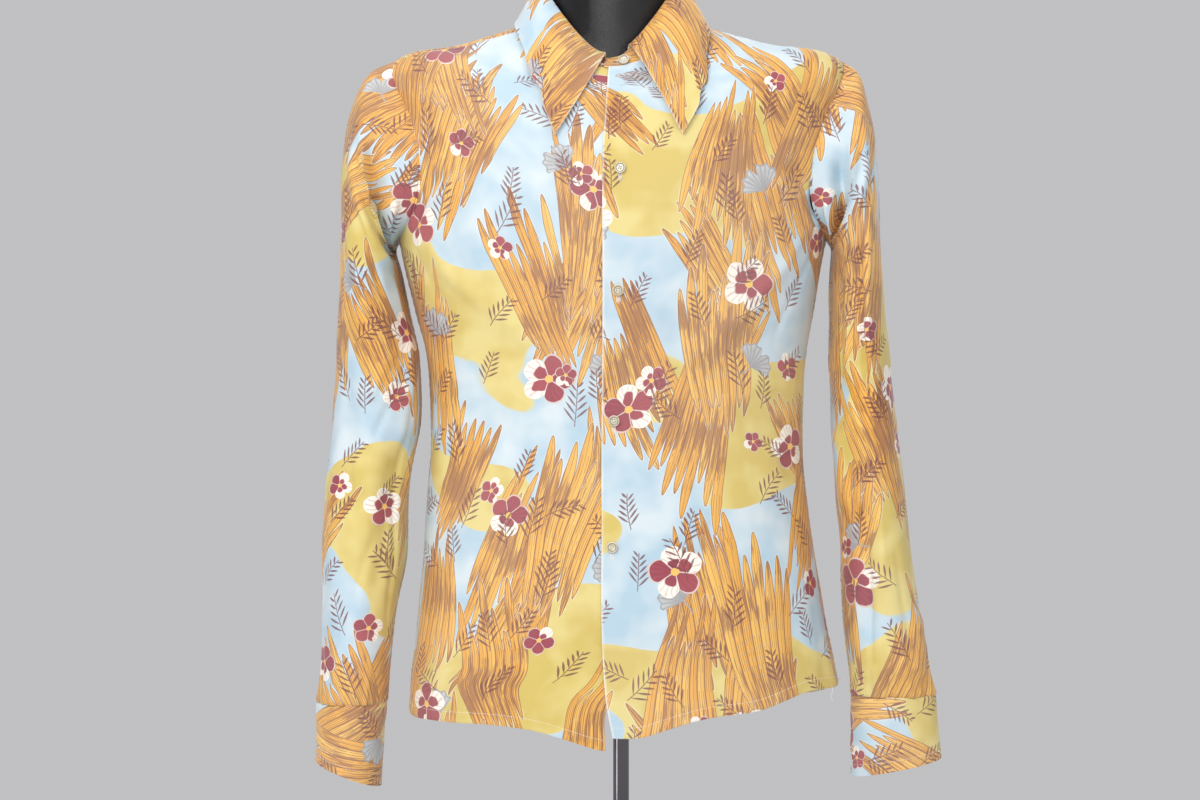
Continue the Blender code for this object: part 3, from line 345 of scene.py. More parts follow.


# Cloth: the outer face's grid, the same grid moved inwards by the thickness, and a rounded rim between them
# through points that stand out past the edge. A closed grid's rows join up.
def clothShell(name, outer, outward, uv, thickness, closed=False, facing=1, worn=None):
    rows, columns = outer.shape[:2]
    count = rows * columns
    numbers = np.arange(count).reshape(rows, columns)
    marks = np.arange(uv.shape[0] * uv.shape[1]).reshape(uv.shape[:2])
    numbers = closedUp(numbers) if closed else numbers
    thickness = np.broadcast_to(thickness, (rows, columns))[..., None]
    points = [outer.reshape(-1, 3), (outer - outward * thickness).reshape(-1, 3)]
    faces = [quadsOf(numbers), (quadsOf(numbers) + count)[:, ::-1]]
    uvs = [quadsOf(marks), quadsOf(marks)[:, ::-1]]

    def border(grid):
        if closed:
            return [grid[0], grid[-1][::-1]]
        return [np.concatenate([grid[0], grid[1:, -1], grid[-1, -2::-1], grid[-2::-1, 0]])]

    inRows, inColumns = np.clip(np.arange(rows), 1, rows - 2), np.clip(np.arange(columns), 1, columns - 2)
    away = unit(outer - outer[inRows[:, None], (np.arange(columns) if closed else inColumns)[None, :]] + 1e-12)
    flatAway, flatThick = away.reshape(-1, 3), thickness.reshape(-1, 1)
    first = 2 * count
    for ring, ringUv in zip(border(numbers), border(marks)):
        own = ring[:-1]
        middle = (points[0][own] + points[1][own]) / 2 + flatAway[own] * flatThick[own] * rimLook["out"]
        ids = np.append(np.arange(first, first + len(own)), first)
        first += len(own)
        points.append(middle)
        for a, b in ((ring, ids), (ids, ring + count)):
            faces.append(np.stack([a[1:], a[:-1], b[:-1], b[1:]], -1))
            uvs.append(np.stack([ringUv[1:], ringUv[:-1], ringUv[:-1], ringUv[1:]], -1))
    inside = np.concatenate([np.zeros(count), np.ones(count), np.zeros(first - 2 * count)])
    # edges and rims are painted paler here: partly wear, partly a painted highlight on the edge
    worn = np.zeros(count) if worn is None else worn.ravel()
    worn = np.concatenate([worn, np.zeros(count), np.ones(first - 2 * count) * rimLook["wear"]])
    faces, uvs = np.concatenate(faces), np.concatenate(uvs)
    if facing < 0:
        faces, uvs = faces[:, ::-1], uvs[:, ::-1]
    made = meshObject(name, np.concatenate(points), [faces], finishes["print"], uv.reshape(-1, 2)[uvs.ravel()],
                      dict(inside=inside, worn=worn))
    made["area"] = gridArea(closedUp(outer) if closed else outer)
    return made


def turnedObject(name, profile, finish, steps):     # a profile of (radius, height) turned about Z
    profile = np.array(profile, float)
    rings = onCircle(profile[1:-1, :1], ringAngles(steps), profile[1:-1, 1:]).reshape(-1, 3)
    numbers = closedUp(np.arange(len(rings)).reshape(-1, steps))
    poles = [(0, 0, profile[0, 1]), (0, 0, profile[-1, 1])]
    caps = poleCaps(numbers, len(rings), len(rings) + 1)
    return meshObject(name, np.concatenate([rings, poles]), [quadsOf(numbers), caps], finish, sharp=35)


def runs(points, axis):                 # lengths along a grid's rows or columns, from its first point
    steps = np.linalg.norm(np.diff(points, axis=axis), axis=-1)
    zero = np.zeros_like(np.take(steps, [0], axis=axis))
    return np.concatenate([zero, np.cumsum(steps, axis=axis)], axis=axis)


def bothRuns(points):
    return runs(points, 1), runs(points, 0)


# A grid laid flat with each triangle kept as rigid as it can be: in turn the best rotation of every triangle,
# then the places that fit all the rotations with cotangent weights. It starts from a guess of the lengths.
def laidFlat(points, guess, rounds=10):
    count = points.shape[0] * points.shape[1]
    numbers = np.arange(count).reshape(points.shape[:2])
    a, b, c, d = (n.ravel() for n in (numbers[:-1, :-1], numbers[:-1, 1:], numbers[1:, 1:], numbers[1:, :-1]))
    corners = np.concatenate([np.stack([a, b, c], -1), np.stack([a, c, d], -1)])
    flat, places = guess.reshape(-1, 2).copy(), points.reshape(-1, 3)[corners]
    first, second = places[:, 1] - places[:, 0], places[:, 2] - places[:, 0]
    length = np.linalg.norm(first, axis=1)
    twice = np.linalg.norm(np.cross(first, second), axis=1)
    start = flat[corners]
    way = np.sign(np.cross(start[:, 1] - start[:, 0], start[:, 2] - start[:, 0]).sum())
    own = np.zeros((len(corners), 3, 2))
    own[:, 1, 0], own[:, 2, 0], own[:, 2, 1] = length, (first * second).sum(1) / length, way * twice / length
    edges = [(0, 1, 2), (1, 2, 0), (2, 0, 1)]
    weights = [((own[:, i] - own[:, k]) * (own[:, j] - own[:, k])).sum(1) / twice for i, j, k in edges]
    spread = np.zeros((count, count))
    for (i, j, _), weight in zip(edges, weights):
        i, j = corners[:, i], corners[:, j]
        for rows, columns, sign in ((i, i, 1), (j, j, 1), (i, j, -1), (j, i, -1)):
            np.add.at(spread, (rows, columns), sign * weight)
    spread[0, 0] += 1.0
    solver = np.linalg.inv(spread)
    for _ in range(rounds):
        turned = np.zeros((len(corners), 2, 2))
        for (i, j, _), weight in zip(edges, weights):
            was, now = own[:, i] - own[:, j], flat[corners[:, i]] - flat[corners[:, j]]
            turned += weight[:, None, None] * was[:, :, None] * now[:, None, :]
        angle = np.arctan2(turned[:, 0, 1] - turned[:, 1, 0], turned[:, 0, 0] + turned[:, 1, 1])
        co, si = np.cos(angle), np.sin(angle)
        target = np.zeros((count, 2))
        for (i, j, _), weight in zip(edges, weights):
            was = own[:, i] - own[:, j]
            pull = np.stack([co * was[:, 0] - si * was[:, 1], si * was[:, 0] + co * was[:, 1]], -1) * weight[:, None]
            np.add.at(target, corners[:, i], pull)
            np.add.at(target, corners[:, j], -pull)
        target[0] += guess.reshape(-1, 2)[0]
        flat = solver @ target
    return flat.reshape(guess.shape)


def spreadOver(coarse, rowsAt, columnsAt):      # a coarse grid's values at parts of its rows and columns, bilinear
    i = np.clip(rowsAt.astype(int), 0, coarse.shape[0] - 2)[:, None]
    j = np.clip(columnsAt.astype(int), 0, coarse.shape[1] - 2)[None, :]
    f, g = (rowsAt[:, None] - i)[..., None], (columnsAt[None, :] - j)[..., None]
    low = coarse[i, j] * (1 - g) + coarse[i, j + 1] * g
    return low * (1 - f) + (coarse[i + 1, j] * (1 - g) + coarse[i + 1, j + 1] * g) * f


seamLook = dict(dip=0.00042, reach=0.0013, allowance=0.00030, allowanceAt=0.0048, allowanceReach=0.0028,
                pucker=0.00024, puckerLength=0.0085, puckerAt=0.004, puckerReach=0.006)
hemLook = dict(width=0.0095, rise=0.00032, fade=0.0012, groove=0.00030, grooveReach=0.0009, edge=0.0002,
               edgeReach=0.0008, top=0.03)


# A seam sinks the cloth by a narrow bell at its line, raises the folded allowance beside it, and puckers it
# in short waves that fade over a centimetre.
def seamRelief(distance, along, strength=1.0):
    d, look = np.maximum(distance, 0), seamLook
    dip = -look["dip"] * bell(d, look["reach"])
    allowance = look["allowance"] * bell(d - look["allowanceAt"], look["allowanceReach"])
    waves = np.sin(along * fullTurn / look["puckerLength"] + 1.7 * np.sin(along * 43))
    return strength * (dip + allowance + look["pucker"] * waves * bell(d - look["puckerAt"], look["puckerReach"]))


def hemRelief(along):                   # the turned-up hem stands a little proud, with a groove at its stitches
    d, look = np.where(along < hemLook["top"], along, 1), hemLook
    raised = look["rise"] * (1 - ease((d - look["width"]) / look["fade"]))
    groove = look["groove"] * bell(d - look["width"], look["grooveReach"])
    return raised - groove - look["edge"] * bell(d, look["edgeReach"])


levelTable = np.linspace(body["level"][0], shirt["neckLevel"], 400)
heightTable = runs(plainAt(np.full(400, math.radians(-60)), levelTable), 0)


def panelUv(points, levels, column, offset):        # the cut's own lengths: across from a column, and up
    across = runs(points, 1)
    up = np.interp(levels, levelTable, heightTable)
    return np.stack([across - across[:, column:column + 1] + offset[0], up + offset[1]], -1)


# Rows of the panels: heights over the hem, shares of the way from there to a level plane, and the levels up to
# the armhole.
def panelRows(hemRows=30, midRows=84):
    near = np.array([0, 0.0005, 0.0012, 0.0024, 0.0042, 0.0064, 0.0084, 0.0095, 0.0106, 0.0128, 0.016, 0.020])
    rest = np.linspace(0, 1, hemRows - len(near) + 1)[1:]
    overHem = np.concatenate([near, np.full(len(rest), near[-1])])
    mid = np.linspace(shirt["planeLevel"], hole["base"], midRows)[1:-1]
    levels = np.concatenate([np.full(len(overHem), shirt["planeLevel"]), mid])
    return overHem, np.concatenate([np.zeros(len(near)), rest]), levels


aboveHem, toPlane, lowLevels = panelRows()
seamAngle = math.radians(0.12)


def withHem(level, hem):
    made = np.repeat(level[:, None], hem.shape[-1], axis=1)
    share = toPlane[:, None]
    made[:len(aboveHem)] = (hem + aboveHem[:, None]) * (1 - share) + shirt["planeLevel"] * share
    return made


def sideAngle(side, level, face):       # half a seam's gap away from the side
    gap = np.arcsin((shirt["seam"] / 2 / readTable(body, level, face)) ** (readTable(body, level, "power") / 2))
    return (1 if face == "back" else -1) * (gap if side > 0 else math.pi - gap)


def frontGrid(side, columns=78, shoulderRows=30, holeRows=54):
    edge, hem = (edgeLeft, hemLeft) if side > 0 else (edgeRight, hemRight)
    turns = np.radians(np.linspace(0, hole["frontSeam"][side], holeRows))
    holeEnd, holeLevel = holeAt(turns, side, hole["grow"])
    holeEnd[0] = sideAngle(side, holeLevel[0], "front")
    neckEnd = hole["neckAngle"][side] - (fullTurn if side < 0 else 0)
    share = (np.linspace(0, 1, shoulderRows + 1) ** 1.5)[1:]
    shoulder = mix(holeLevel[-1], shirt["neckLevel"], share)
    shoulderEnd = mix(holeEnd[-1], neckEnd, share) - side * seamAngle
    holeEnd[-1] -= side * seamAngle
    level = np.concatenate([lowLevels, holeLevel, shoulder])
    end = np.concatenate([sideAngle(side, lowLevels, "front"), holeEnd, shoulderEnd])[:, None]
    across = nearEnds(columns, 0.27)
    levels = np.repeat(level[:, None], len(across), axis=1)
    for _ in range(4):                  # the edge and the hem depend on each other
        angles = mix(angleOfX(readTable(edge, levels[:, :1], "x"), levels[:, :1]), end, across)
        away = np.degrees((angles[:len(aboveHem)] - front) * side)
        levels = withHem(level, readTable(hem, away, "z")[0])
    return angles, levels


def lapAt(angles, levels):              # how far under the left front's edge the right front lies
    past = bodyAt(angles, levels)[..., 0] - readTable(edgeLeft, levels, "x")
    return shirt["lapDepth"] * ease((past + shirt["lapFade"]) / (shirt["lapFade"] - 0.002))


def yokeSeam(across):
    return hole["backRise"] * (1 - (2 * across - 1) ** 2)


def backGrid(columns=128, holeRows=44):
    turns = -np.radians(np.linspace(0, hole["backSeam"], holeRows))
    leftHole, holeLevel = holeAt(turns, 1, hole["grow"])
    rightHole = holeAt(turns, -1, hole["grow"])[0] + fullTurn
    leftHole[0], rightHole[0] = (sideAngle(side, holeLevel[0], "back") for side in (1, -1))
    level = np.concatenate([lowLevels, holeLevel])
    left, right = (np.concatenate([sideAngle(side, lowLevels, "back"), end])[:, None]
                   for side, end in ((1, leftHole), (-1, rightHole)))
    across = nearEnds(columns, 0.55)
    angles = mix(left, right, across)
    levels = withHem(level, readTable(hemBack, 90 - np.degrees(angles[0]), "z"))
    rise = ease((level - hole["base"]) / (holeLevel[-1] - hole["base"]))[:, None]
    return angles, levels + rise * (yokeSeam(across) - shirt["seam"] / 2)


def yokeGrid(columns=110, rows=36):
    leftTurns = fullTurn - np.radians(np.linspace(hole["backSeam"], 360 - hole["frontSeam"][1], 34)[::-1])
    rightTurns = fullTurn - np.radians(np.linspace(hole["backSeam"], 360 - hole["frontSeam"][-1], 36))
    leftAngle, leftLevel = holeAt(leftTurns, 1, hole["grow"])
    rightAngle, rightLevel = holeAt(rightTurns, -1, hole["grow"])
    rightAngle = rightAngle + fullTurn
    across = np.linspace(0, 1, columns + 1)[1:-1]
    outerAngle = np.concatenate([leftAngle, mix(leftAngle[-1], rightAngle[0], across), rightAngle])
    outerLevel = np.concatenate([leftLevel, leftLevel[-1] + yokeSeam(across), rightLevel])
    outerLevel[len(leftAngle) - 1:len(leftAngle) + columns] += shirt["seam"] / 2
    outerAngle[0] += seamAngle
    outerAngle[-1] -= seamAngle
    ends = hole["neckAngle"][1] + seamAngle, hole["neckAngle"][-1] - seamAngle
    steps = np.hypot(*np.diff(bodyAt(outerAngle, outerLevel)[:, :2], axis=0).T)
    spread = np.concatenate([[0], np.cumsum(steps)]) / steps.sum()
    innerAngle = mix(*ends, spread)
    share = (nearEnds(rows, 0.13) ** 1.3)[:, None]
    return mix(outerAngle, innerAngle, share), mix(outerLevel, shirt["neckLevel"], share)


def creaseRelief(angles, levels):
    across = aroundZero(angles) * shirt["bodyRadius"]
    return foldHeights(across, levels, bodyCreases) + softWaves(across, levels, bodyWaves)


def bodyRelief(angles, levels):         # creases, soft waves, and the seams round both armholes
    relief, along = creaseRelief(angles, levels), levels * 1.3 + aroundZero(angles) * shirt["bodyRadius"]
    for side in (1, -1):
        relief = relief + seamRelief(holeDistance(angles, levels, side), along)
    return relief


def addPanel(name, angles, levels, facing, relief, thickness, column, offset, under=None, worn=None):
    outward, points = bodyNormals(angles, levels), bodyAt(angles, levels)
    if under is not None:
        points = points - outward * under[..., None]
    uv = panelUv(points, levels, column, offset)
    points = points + outward * relief[..., None]
    return clothShell(name, points, outward, uv, thickness, facing=facing, worn=worn), points, outward


# The fronts' turned edges: creases calm down towards them, and the upper edge stands up and is painted paler along its
# fold, partly as wear and partly as a painted highlight where the fold catches the light.
frontEdge = dict(calm=0.012, calmShare=0.35, groove=0.0002, grooveReach=0.0007, doubledReach=0.004, rise=0.0003,
                 riseReach=0.010, wornReach=0.0010, worn={1: 0.9, -1: 0.3})
sideSeamTop = hole["base"] + 0.002


def addFront(name, side, offset):
    angles, levels = frontGrid(side)
    fromEdge, along = bothRuns(plainAt(angles, levels))
    relief, look = bodyRelief(angles, levels), frontEdge
    atSeam = (levels < sideSeamTop) | (levels > shirt["shoulderLevel"])
    seamed = np.where(atSeam, seamRelief(fromEdge[:, -1:] - fromEdge, along), 0)
    relief = relief * ease(fromEdge / look["calm"] + look["calmShare"]) + seamed + hemRelief(along)
    relief = relief - look["groove"] * bell(fromEdge, look["grooveReach"])
    doubled = bell(fromEdge, look["doubledReach"]) + (along < hemLook["width"])
    thickness = mix(shirt["cloth"], shirt["doubled"], np.clip(doubled, 0, 1))
    under = lapAt(angles, levels) if side < 0 else None
    relief = relief + look["rise"] * ease(1.6 - fromEdge / look["riseReach"]) * (side > 0)
    # painted paler along the edge: partly wear, partly a painted highlight on the fold
    worn = bell(fromEdge, look["wornReach"]) * look["worn"][side]
    return addPanel(name, angles, levels, side, relief, thickness, 0, offset, under, worn)


def addBack(name, offset):
    angles, levels = backGrid()
    across, along = bothRuns(plainAt(angles, levels))
    nearSide = np.minimum(across, across[:, -1:] - across)
    relief = bodyRelief(angles, levels) + np.where(levels < sideSeamTop, seamRelief(nearSide, along), 0)
    relief = relief + hemRelief(along) + seamRelief(along[-1:] - along, across)
    thickness = mix(shirt["cloth"], shirt["doubled"], along < hemLook["width"])
    return addPanel(name, angles, levels, 1, relief, thickness, angles.shape[1] // 2, offset)


def addYoke(name, offset):              # its cut is laid down from above, spread by how far the shoulders drop
    angles, levels = yokeGrid()
    flat = plainAt(angles, levels)
    across, along = bothRuns(flat)
    frontEnds = np.minimum(across, across[:, -1:] - across)
    relief = creaseRelief(angles, levels) + seamRelief(frontEnds, along) + seamRelief(along, across)
    outward = bodyNormals(angles, levels)
    drop = readTable(body, levels, "sideZ") - flat[..., 2]
    uv = np.stack([flat[..., 0] * 1.03, flat[..., 1] * 0.96 + np.sign(flat[..., 1]) * drop * 0.8], -1) + offset
    points = flat + outward * relief[..., None]
    return clothShell(name, points, outward, uv, shirt["cloth"] + 0.0002), points, outward


# The sleeves' rows: length down, the outer and the inner line, and half the depth about its middle.
sleeveRight = columnsOf(
    "down  outerX  outerZ innerX  innerZ halfDepth centreY",
    (0.000, -0.2120, 1.4620, -0.2090, 1.2915, 0.056, -0.003),
    (0.028, -0.2375, 1.4500, -0.2106, 1.2898, 0.060, -0.003),
    (0.068, -0.2546, 1.4155, -0.2124, 1.2865, 0.066, -0.002),
    (0.117, -0.2632, 1.3680, -0.2138, 1.2825, 0.071, 0.000),
    (0.172, -0.2651, 1.3130, -0.2133, 1.2760, 0.075, 0.002),
    (0.226, -0.2665, 1.2590, -0.2081, 1.2540, 0.074, 0.003),
    (0.307, -0.2698, 1.1780, -0.1920, 1.1760, 0.063, 0.002),
    (0.364, -0.2736, 1.1210, -0.1910, 1.1210, 0.057, -0.002),
    (0.431, -0.2793, 1.0545, -0.2014, 1.0545, 0.054, -0.006),
    (0.488, -0.2822, 0.9975, -0.2028, 0.9975, 0.050, -0.009),
    (0.555, -0.2822, 0.9310, -0.2147, 0.9310, 0.047, -0.012),
    (0.602, -0.2836, 0.8835, -0.2185, 0.8835, 0.045, -0.014),
    (0.630, -0.2872, 0.8560, -0.2212, 0.8560, 0.0375, -0.015),
)
sleeveLeft = columnsOf(
    "down  outerX  outerZ innerX  innerZ halfDepth centreY",
    (0.000, 0.2070, 1.4620, 0.1950, 1.2915, 0.056, -0.003),
    (0.028, 0.2233, 1.4500, 0.1970, 1.2905, 0.060, -0.003),
    (0.064, 0.2347, 1.4155, 0.1988, 1.2880, 0.066, -0.002),
    (0.112, 0.2413, 1.3680, 0.2000, 1.2845, 0.071, 0.000),
    (0.167, 0.2442, 1.3130, 0.2005, 1.2790, 0.075, 0.003),
    (0.221, 0.2475, 1.2590, 0.1990, 1.2560, 0.075, 0.004),
    (0.298, 0.2537, 1.1830, 0.1988, 1.1830, 0.069, 0.003),
    (0.360, 0.2603, 1.1210, 0.2000, 1.1210, 0.064, 0.000),
    (0.422, 0.2670, 1.0590, 0.2035, 1.0590, 0.058, -0.004),
    (0.479, 0.2736, 1.0020, 0.2081, 1.0020, 0.053, -0.007),
    (0.546, 0.2822, 0.9358, 0.2100, 0.9358, 0.048, -0.010),
    (0.594, 0.2885, 0.8883, 0.2158, 0.8883, 0.045, -0.012),
    (0.622, 0.2968, 0.8626, 0.2168, 0.8626, 0.0335, -0.013),
)
sleeves = {1: sleeveLeft, -1: sleeveRight}
armholeBlend, underarmBlend = 0.055, 0.110
# Large folds: x is the turn in degrees from the underarm line towards the front, y the length down.
largeSleeveFolds = {
    -1: foldTable(
        shirt["sleeveRadius"],
        (118, 0.100, 42, 0.205, 0.015, 0.0055),
        (80, 0.110, 22, 0.185, 0.013, -0.0055),
        (20, 0.285, 48, 0.390, 0.013, 0.0050),
        (48, 0.390, 62, 0.520, 0.012, -0.0040),
        (130, 0.320, 105, 0.450, 0.014, -0.0035),
        (215, 0.140, 300, 0.230, 0.016, 0.0055),
        (250, 0.300, 290, 0.400, 0.015, -0.0045),
        (240, 0.450, 265, 0.560, 0.014, 0.0040),
    ),
    1: foldTable(
        shirt["sleeveRadius"],
        (108, 0.085, 28, 0.175, 0.014, 0.0050),
        (62, 0.205, 76, 0.330, 0.014, -0.0065),
        (40, 0.330, 110, 0.372, 0.013, -0.0045),
        (25, 0.370, 40, 0.440, 0.015, 0.0055),
        (70, 0.440, 60, 0.560, 0.013, -0.0040),
        (150, 0.540, 130, 0.600, 0.015, 0.0045),
        (225, 0.130, 300, 0.215, 0.016, 0.0055),
        (255, 0.290, 285, 0.400, 0.015, -0.0050),
        (235, 0.440, 270, 0.550, 0.014, 0.0040),
    )}
sleeveCreases = {
    -1: foldTable(
        shirt["sleeveRadius"],
        (109, 0.066, 24, 0.168, 0.0046, 0.0056, 0.005, 0.5),
        (97, 0.056, 14, 0.150, 0.0085, -0.0130, 0.005, -0.3),
        (62, 0.050, 20, 0.110, 0.0070, 0.0036, 0.003, 0.2),
        (48, 0.060, 12, 0.140, 0.0060, -0.0040),
        (150, 0.060, 120, 0.150, 0.0080, -0.0014, 0.004),
        (100, 0.150, 62, 0.250, 0.0060, -0.0016, -0.004, 0.2),
        (120, 0.190, 96, 0.300, 0.0070, 0.0010, 0.003),
        (36, 0.230, 40, 0.345, 0.0050, 0.0018, -0.004, 0.3),
        (38, 0.350, 34, 0.545, 0.0040, -0.0020, 0.003, 0.3),
        (22, 0.340, 20, 0.440, 0.0050, 0.0014),
        (60, 0.300, 92, 0.345, 0.0050, 0.0012, 0.003, 0.3),
        (52, 0.335, 84, 0.380, 0.0050, -0.0012, 0.003),
        (104, 0.400, 80, 0.470, 0.0060, 0.0011, 0.002, 0.2),
        (72, 0.470, 96, 0.540, 0.0060, -0.0012, 0.002),
        (140, 0.420, 128, 0.530, 0.0090, 0.0012, 0.003),
        (60, 0.600, 64, 0.640, 0.0040, 0.0013),
        (90, 0.590, 88, 0.640, 0.0050, -0.0014),
        (116, 0.585, 120, 0.640, 0.0045, 0.0013),
        (150, 0.590, 152, 0.640, 0.0050, -0.0011),
        (200, 0.570, 204, 0.640, 0.0060, 0.0016, 0.0, 0.2),
        (262, 0.545, 258, 0.640, 0.0045, 0.0024, 0.0, 0.5),
        (284, 0.560, 282, 0.640, 0.0045, 0.0022, 0.0, 0.5),
        (320, 0.580, 322, 0.640, 0.0055, -0.0014),
        (210, 0.090, 262, 0.170, 0.0075, -0.0024, 0.005, 0.2),
        (236, 0.075, 316, 0.150, 0.0080, 0.0030, 0.005, 0.3),
        (262, 0.070, 334, 0.130, 0.0070, -0.0040, 0.003),
        (240, 0.250, 276, 0.300, 0.0060, 0.0018, 0.003, 0.3),
        (228, 0.330, 268, 0.360, 0.0060, -0.0016, -0.003, 0.2),
        (300, 0.330, 268, 0.420, 0.0060, 0.0018, 0.003, 0.2),
        (222, 0.480, 246, 0.540, 0.0060, -0.0014, 0.003),
        (176, 0.260, 190, 0.380, 0.0090, -0.0010, 0.003),
    ),
    1: foldTable(
        shirt["sleeveRadius"],
        (101, 0.050, 22, 0.150, 0.0046, 0.0052, 0.005, 0.5),
        (89, 0.042, 14, 0.130, 0.0085, -0.0125, 0.005, -0.3),
        (52, 0.036, 14, 0.092, 0.0070, 0.0034, 0.003, 0.2),
        (140, 0.050, 116, 0.130, 0.0080, -0.0013, 0.004),
        (112, 0.130, 96, 0.260, 0.0060, 0.0013, -0.004, 0.2),
        (80, 0.180, 84, 0.335, 0.0048, -0.0046, -0.004, 0.3),
        (98, 0.200, 98, 0.330, 0.0060, 0.0022, -0.003, 0.3),
        (52, 0.180, 46, 0.300, 0.0055, 0.0020, 0.003, 0.2),
        (34, 0.215, 36, 0.330, 0.0050, -0.0020, 0.003, 0.2),
        (30, 0.330, 70, 0.368, 0.0050, 0.0018, 0.004, 0.3),
        (66, 0.362, 118, 0.392, 0.0055, 0.0016, -0.003, 0.3),
        (44, 0.398, 52, 0.480, 0.0050, -0.0016, 0.003),
        (90, 0.420, 86, 0.520, 0.0060, 0.0012, 0.003),
        (64, 0.470, 58, 0.590, 0.0040, -0.0018, 0.002, 0.3),
        (112, 0.480, 122, 0.570, 0.0060, -0.0011, 0.002),
        (60, 0.590, 64, 0.632, 0.0040, 0.0013),
        (84, 0.580, 82, 0.632, 0.0045, -0.0015),
        (108, 0.575, 112, 0.632, 0.0045, 0.0015),
        (136, 0.575, 138, 0.632, 0.0045, -0.0015),
        (164, 0.565, 160, 0.632, 0.0055, 0.0016),
        (262, 0.540, 258, 0.632, 0.0045, 0.0024, 0.0, 0.5),
        (284, 0.555, 282, 0.632, 0.0045, 0.0022, 0.0, 0.5),
        (320, 0.570, 322, 0.632, 0.0055, -0.0014),
        (212, 0.080, 264, 0.160, 0.0075, -0.0024, 0.005, 0.2),
        (238, 0.060, 316, 0.135, 0.0080, 0.0030, 0.005, 0.3),
        (262, 0.055, 334, 0.115, 0.0070, -0.0040, 0.003),
        (242, 0.240, 280, 0.300, 0.0060, 0.0018, 0.003, 0.3),
        (224, 0.320, 266, 0.355, 0.0060, -0.0016, -0.003, 0.2),
        (306, 0.320, 272, 0.410, 0.0060, 0.0018, 0.003, 0.2),
        (220, 0.470, 250, 0.530, 0.0060, -0.0014, 0.003),
        (180, 0.250, 194, 0.370, 0.0090, -0.0010, 0.003),
    )}
sleeveWaves = ((0.090, 0.4, 0.3, 0.00030), (0.067, 1.4, 1.9, 0.00026), (0.045, -0.7, 3.4, 0.00014),
               (0.130, 2.1, 0.9, 0.00030))
sleeveLook = dict(creases=1.35, tuck=0.022, tuckDepth=0.0007, slitTurn=250, slitLength=0.105, slitDepth=0.0007,
                  slitWidth=0.0014, seamUp=0.0003, seamThick=0.0003, seamThickReach=0.006)


def sleeveRing(at, turn):               # x and z go from the outer to the inner line by (1 + cos) / 2, y by sin
    inward = (1 + np.cos(turn)) / 2
    x, z = (mix(at["outer" + axis], at["inner" + axis], inward) for axis in "XZ")
    return x, at["centreY"] - at["halfDepth"] * np.sin(turn), z


# A ring at each length down. By the armhole it is carried over to the armhole's own oval, further down at the
# underarm than at the top.
def sleeveAt(side):
    rows = sleeves[side]

    def surface(turn, down):
        turn, down = sameShape(turn, down)
        height = foldHeights(turn % fullTurn * shirt["sleeveRadius"], down, largeSleeveFolds[side])
        x, y, z = sleeveRing({name: readTable(rows, down, name) for name in rows}, turn)
        ring = np.stack([x - side * height * np.cos(turn), y - height * np.sin(turn), z], -1)
        start = np.stack(sleeveRing({name: rows[name][0] for name in rows}, turn), -1)
        blend = armholeBlend + underarmBlend * ((1 + np.cos(turn)) / 2) ** 1.5
        seam = bodyAt(*holeAt(turn, side, -hole["grow"]))
        return ring + (seam - start) * (1 - ease(down / blend))[..., None]

    return surface


def addSleeve(name, side, offset, columns=128, rows=176):
    surface, length, radius, look = sleeveAt(side), sleeves[side]["down"][-1], shirt["sleeveRadius"], sleeveLook
    share = nearEnds(rows, length)
    down = (length * (0.72 * share + 0.28 * share ** 2))[:, None]       # rows lie closer at the top
    turn = ringAngles(columns)[None, :]
    points, outward = surface(turn, down), slopeNormals(surface, turn, down, -side)
    tucked = holeAt(turn, side, look["tuck"])           # its first row lies under the body's edge
    points[0] = (bodyAt(*tucked) - bodyNormals(*tucked) * look["tuckDepth"])[0]
    relief = foldHeights(turn * radius, down, sleeveCreases[side]) * ease(down / 0.05) * look["creases"]
    # the waves run on round the sleeve, because they are measured on the points
    relief = relief + softWaves(points[..., 1] * 1.6 + points[..., 0], points[..., 2], sleeveWaves) * ease(down / 0.04)
    relief = relief + (seamRelief(down, turn * 0.09, 0.8) + look["seamUp"]) * ease(down / 0.0015)
    relief = relief + seamRelief(length - down, turn * 0.04, 1.2)
    slit = bell(np.abs(turn - math.radians(look["slitTurn"])) * radius, look["slitWidth"])
    relief = relief - look["slitDepth"] * slit * ease((down - length + look["slitLength"]) / 0.008)
    relief = relief + seamRelief(np.minimum(turn, fullTurn - turn) * radius, down, 0.9)
    # the cut's own lengths, laid flat from a coarser grid that is open at the underarm seam
    lines, sections, middle = 45, 44, 22
    coarseDown, coarseTurn = np.linspace(0, length, lines + 1)[:, None], np.linspace(0, fullTurn, sections + 1)[None, :]
    coarse = surface(coarseTurn, coarseDown)
    level = runs(coarse * (1, 1, 0), 1)
    cut = laidFlat(coarse, np.stack([(level - level[:, middle:middle + 1]) * -side, -coarseDown + 0 * level], -1))
    cut = cut - cut[-1, middle] - (0, length)
    uv = spreadOver(cut, down[:, 0] / length * lines, np.arange(columns + 1) / columns * sections) + offset
    points = points + outward * relief[..., None]
    thick = shirt["cloth"] + look["seamThick"] * bell(down, look["seamThickReach"]) + 0 * turn
    return clothShell(name, points, outward, uv, thick, closed=True, facing=-side), points, outward


cuffs = {-1: dict(outerX=-0.2879, outerZ=0.8010, innerX=-0.2268, innerZ=0.7775, halfDepth=0.0365, centreY=-0.017),
         1: dict(outerX=0.3020, outerZ=0.8035, innerX=0.2172, innerZ=0.7865, halfDepth=0.0320, centreY=-0.015)}
cuffLap = dict(start=232, lap=44, depth=0.0019)
cuffWaves = ((0.05, 0.3, 0.5, 0.00035), (0.033, 1.3, 1.0, 0.00022), (0.021, 0.9, 2.0, 0.00010))
cuffLook = dict(thickness=0.0010, rise=0.0004, dip=0.0006, dipReach=0.0015, stitchLine=0.0035, stitchGroove=0.00025,
                gathers=0.0002, gatherLength=0.012, gatherReach=0.008)


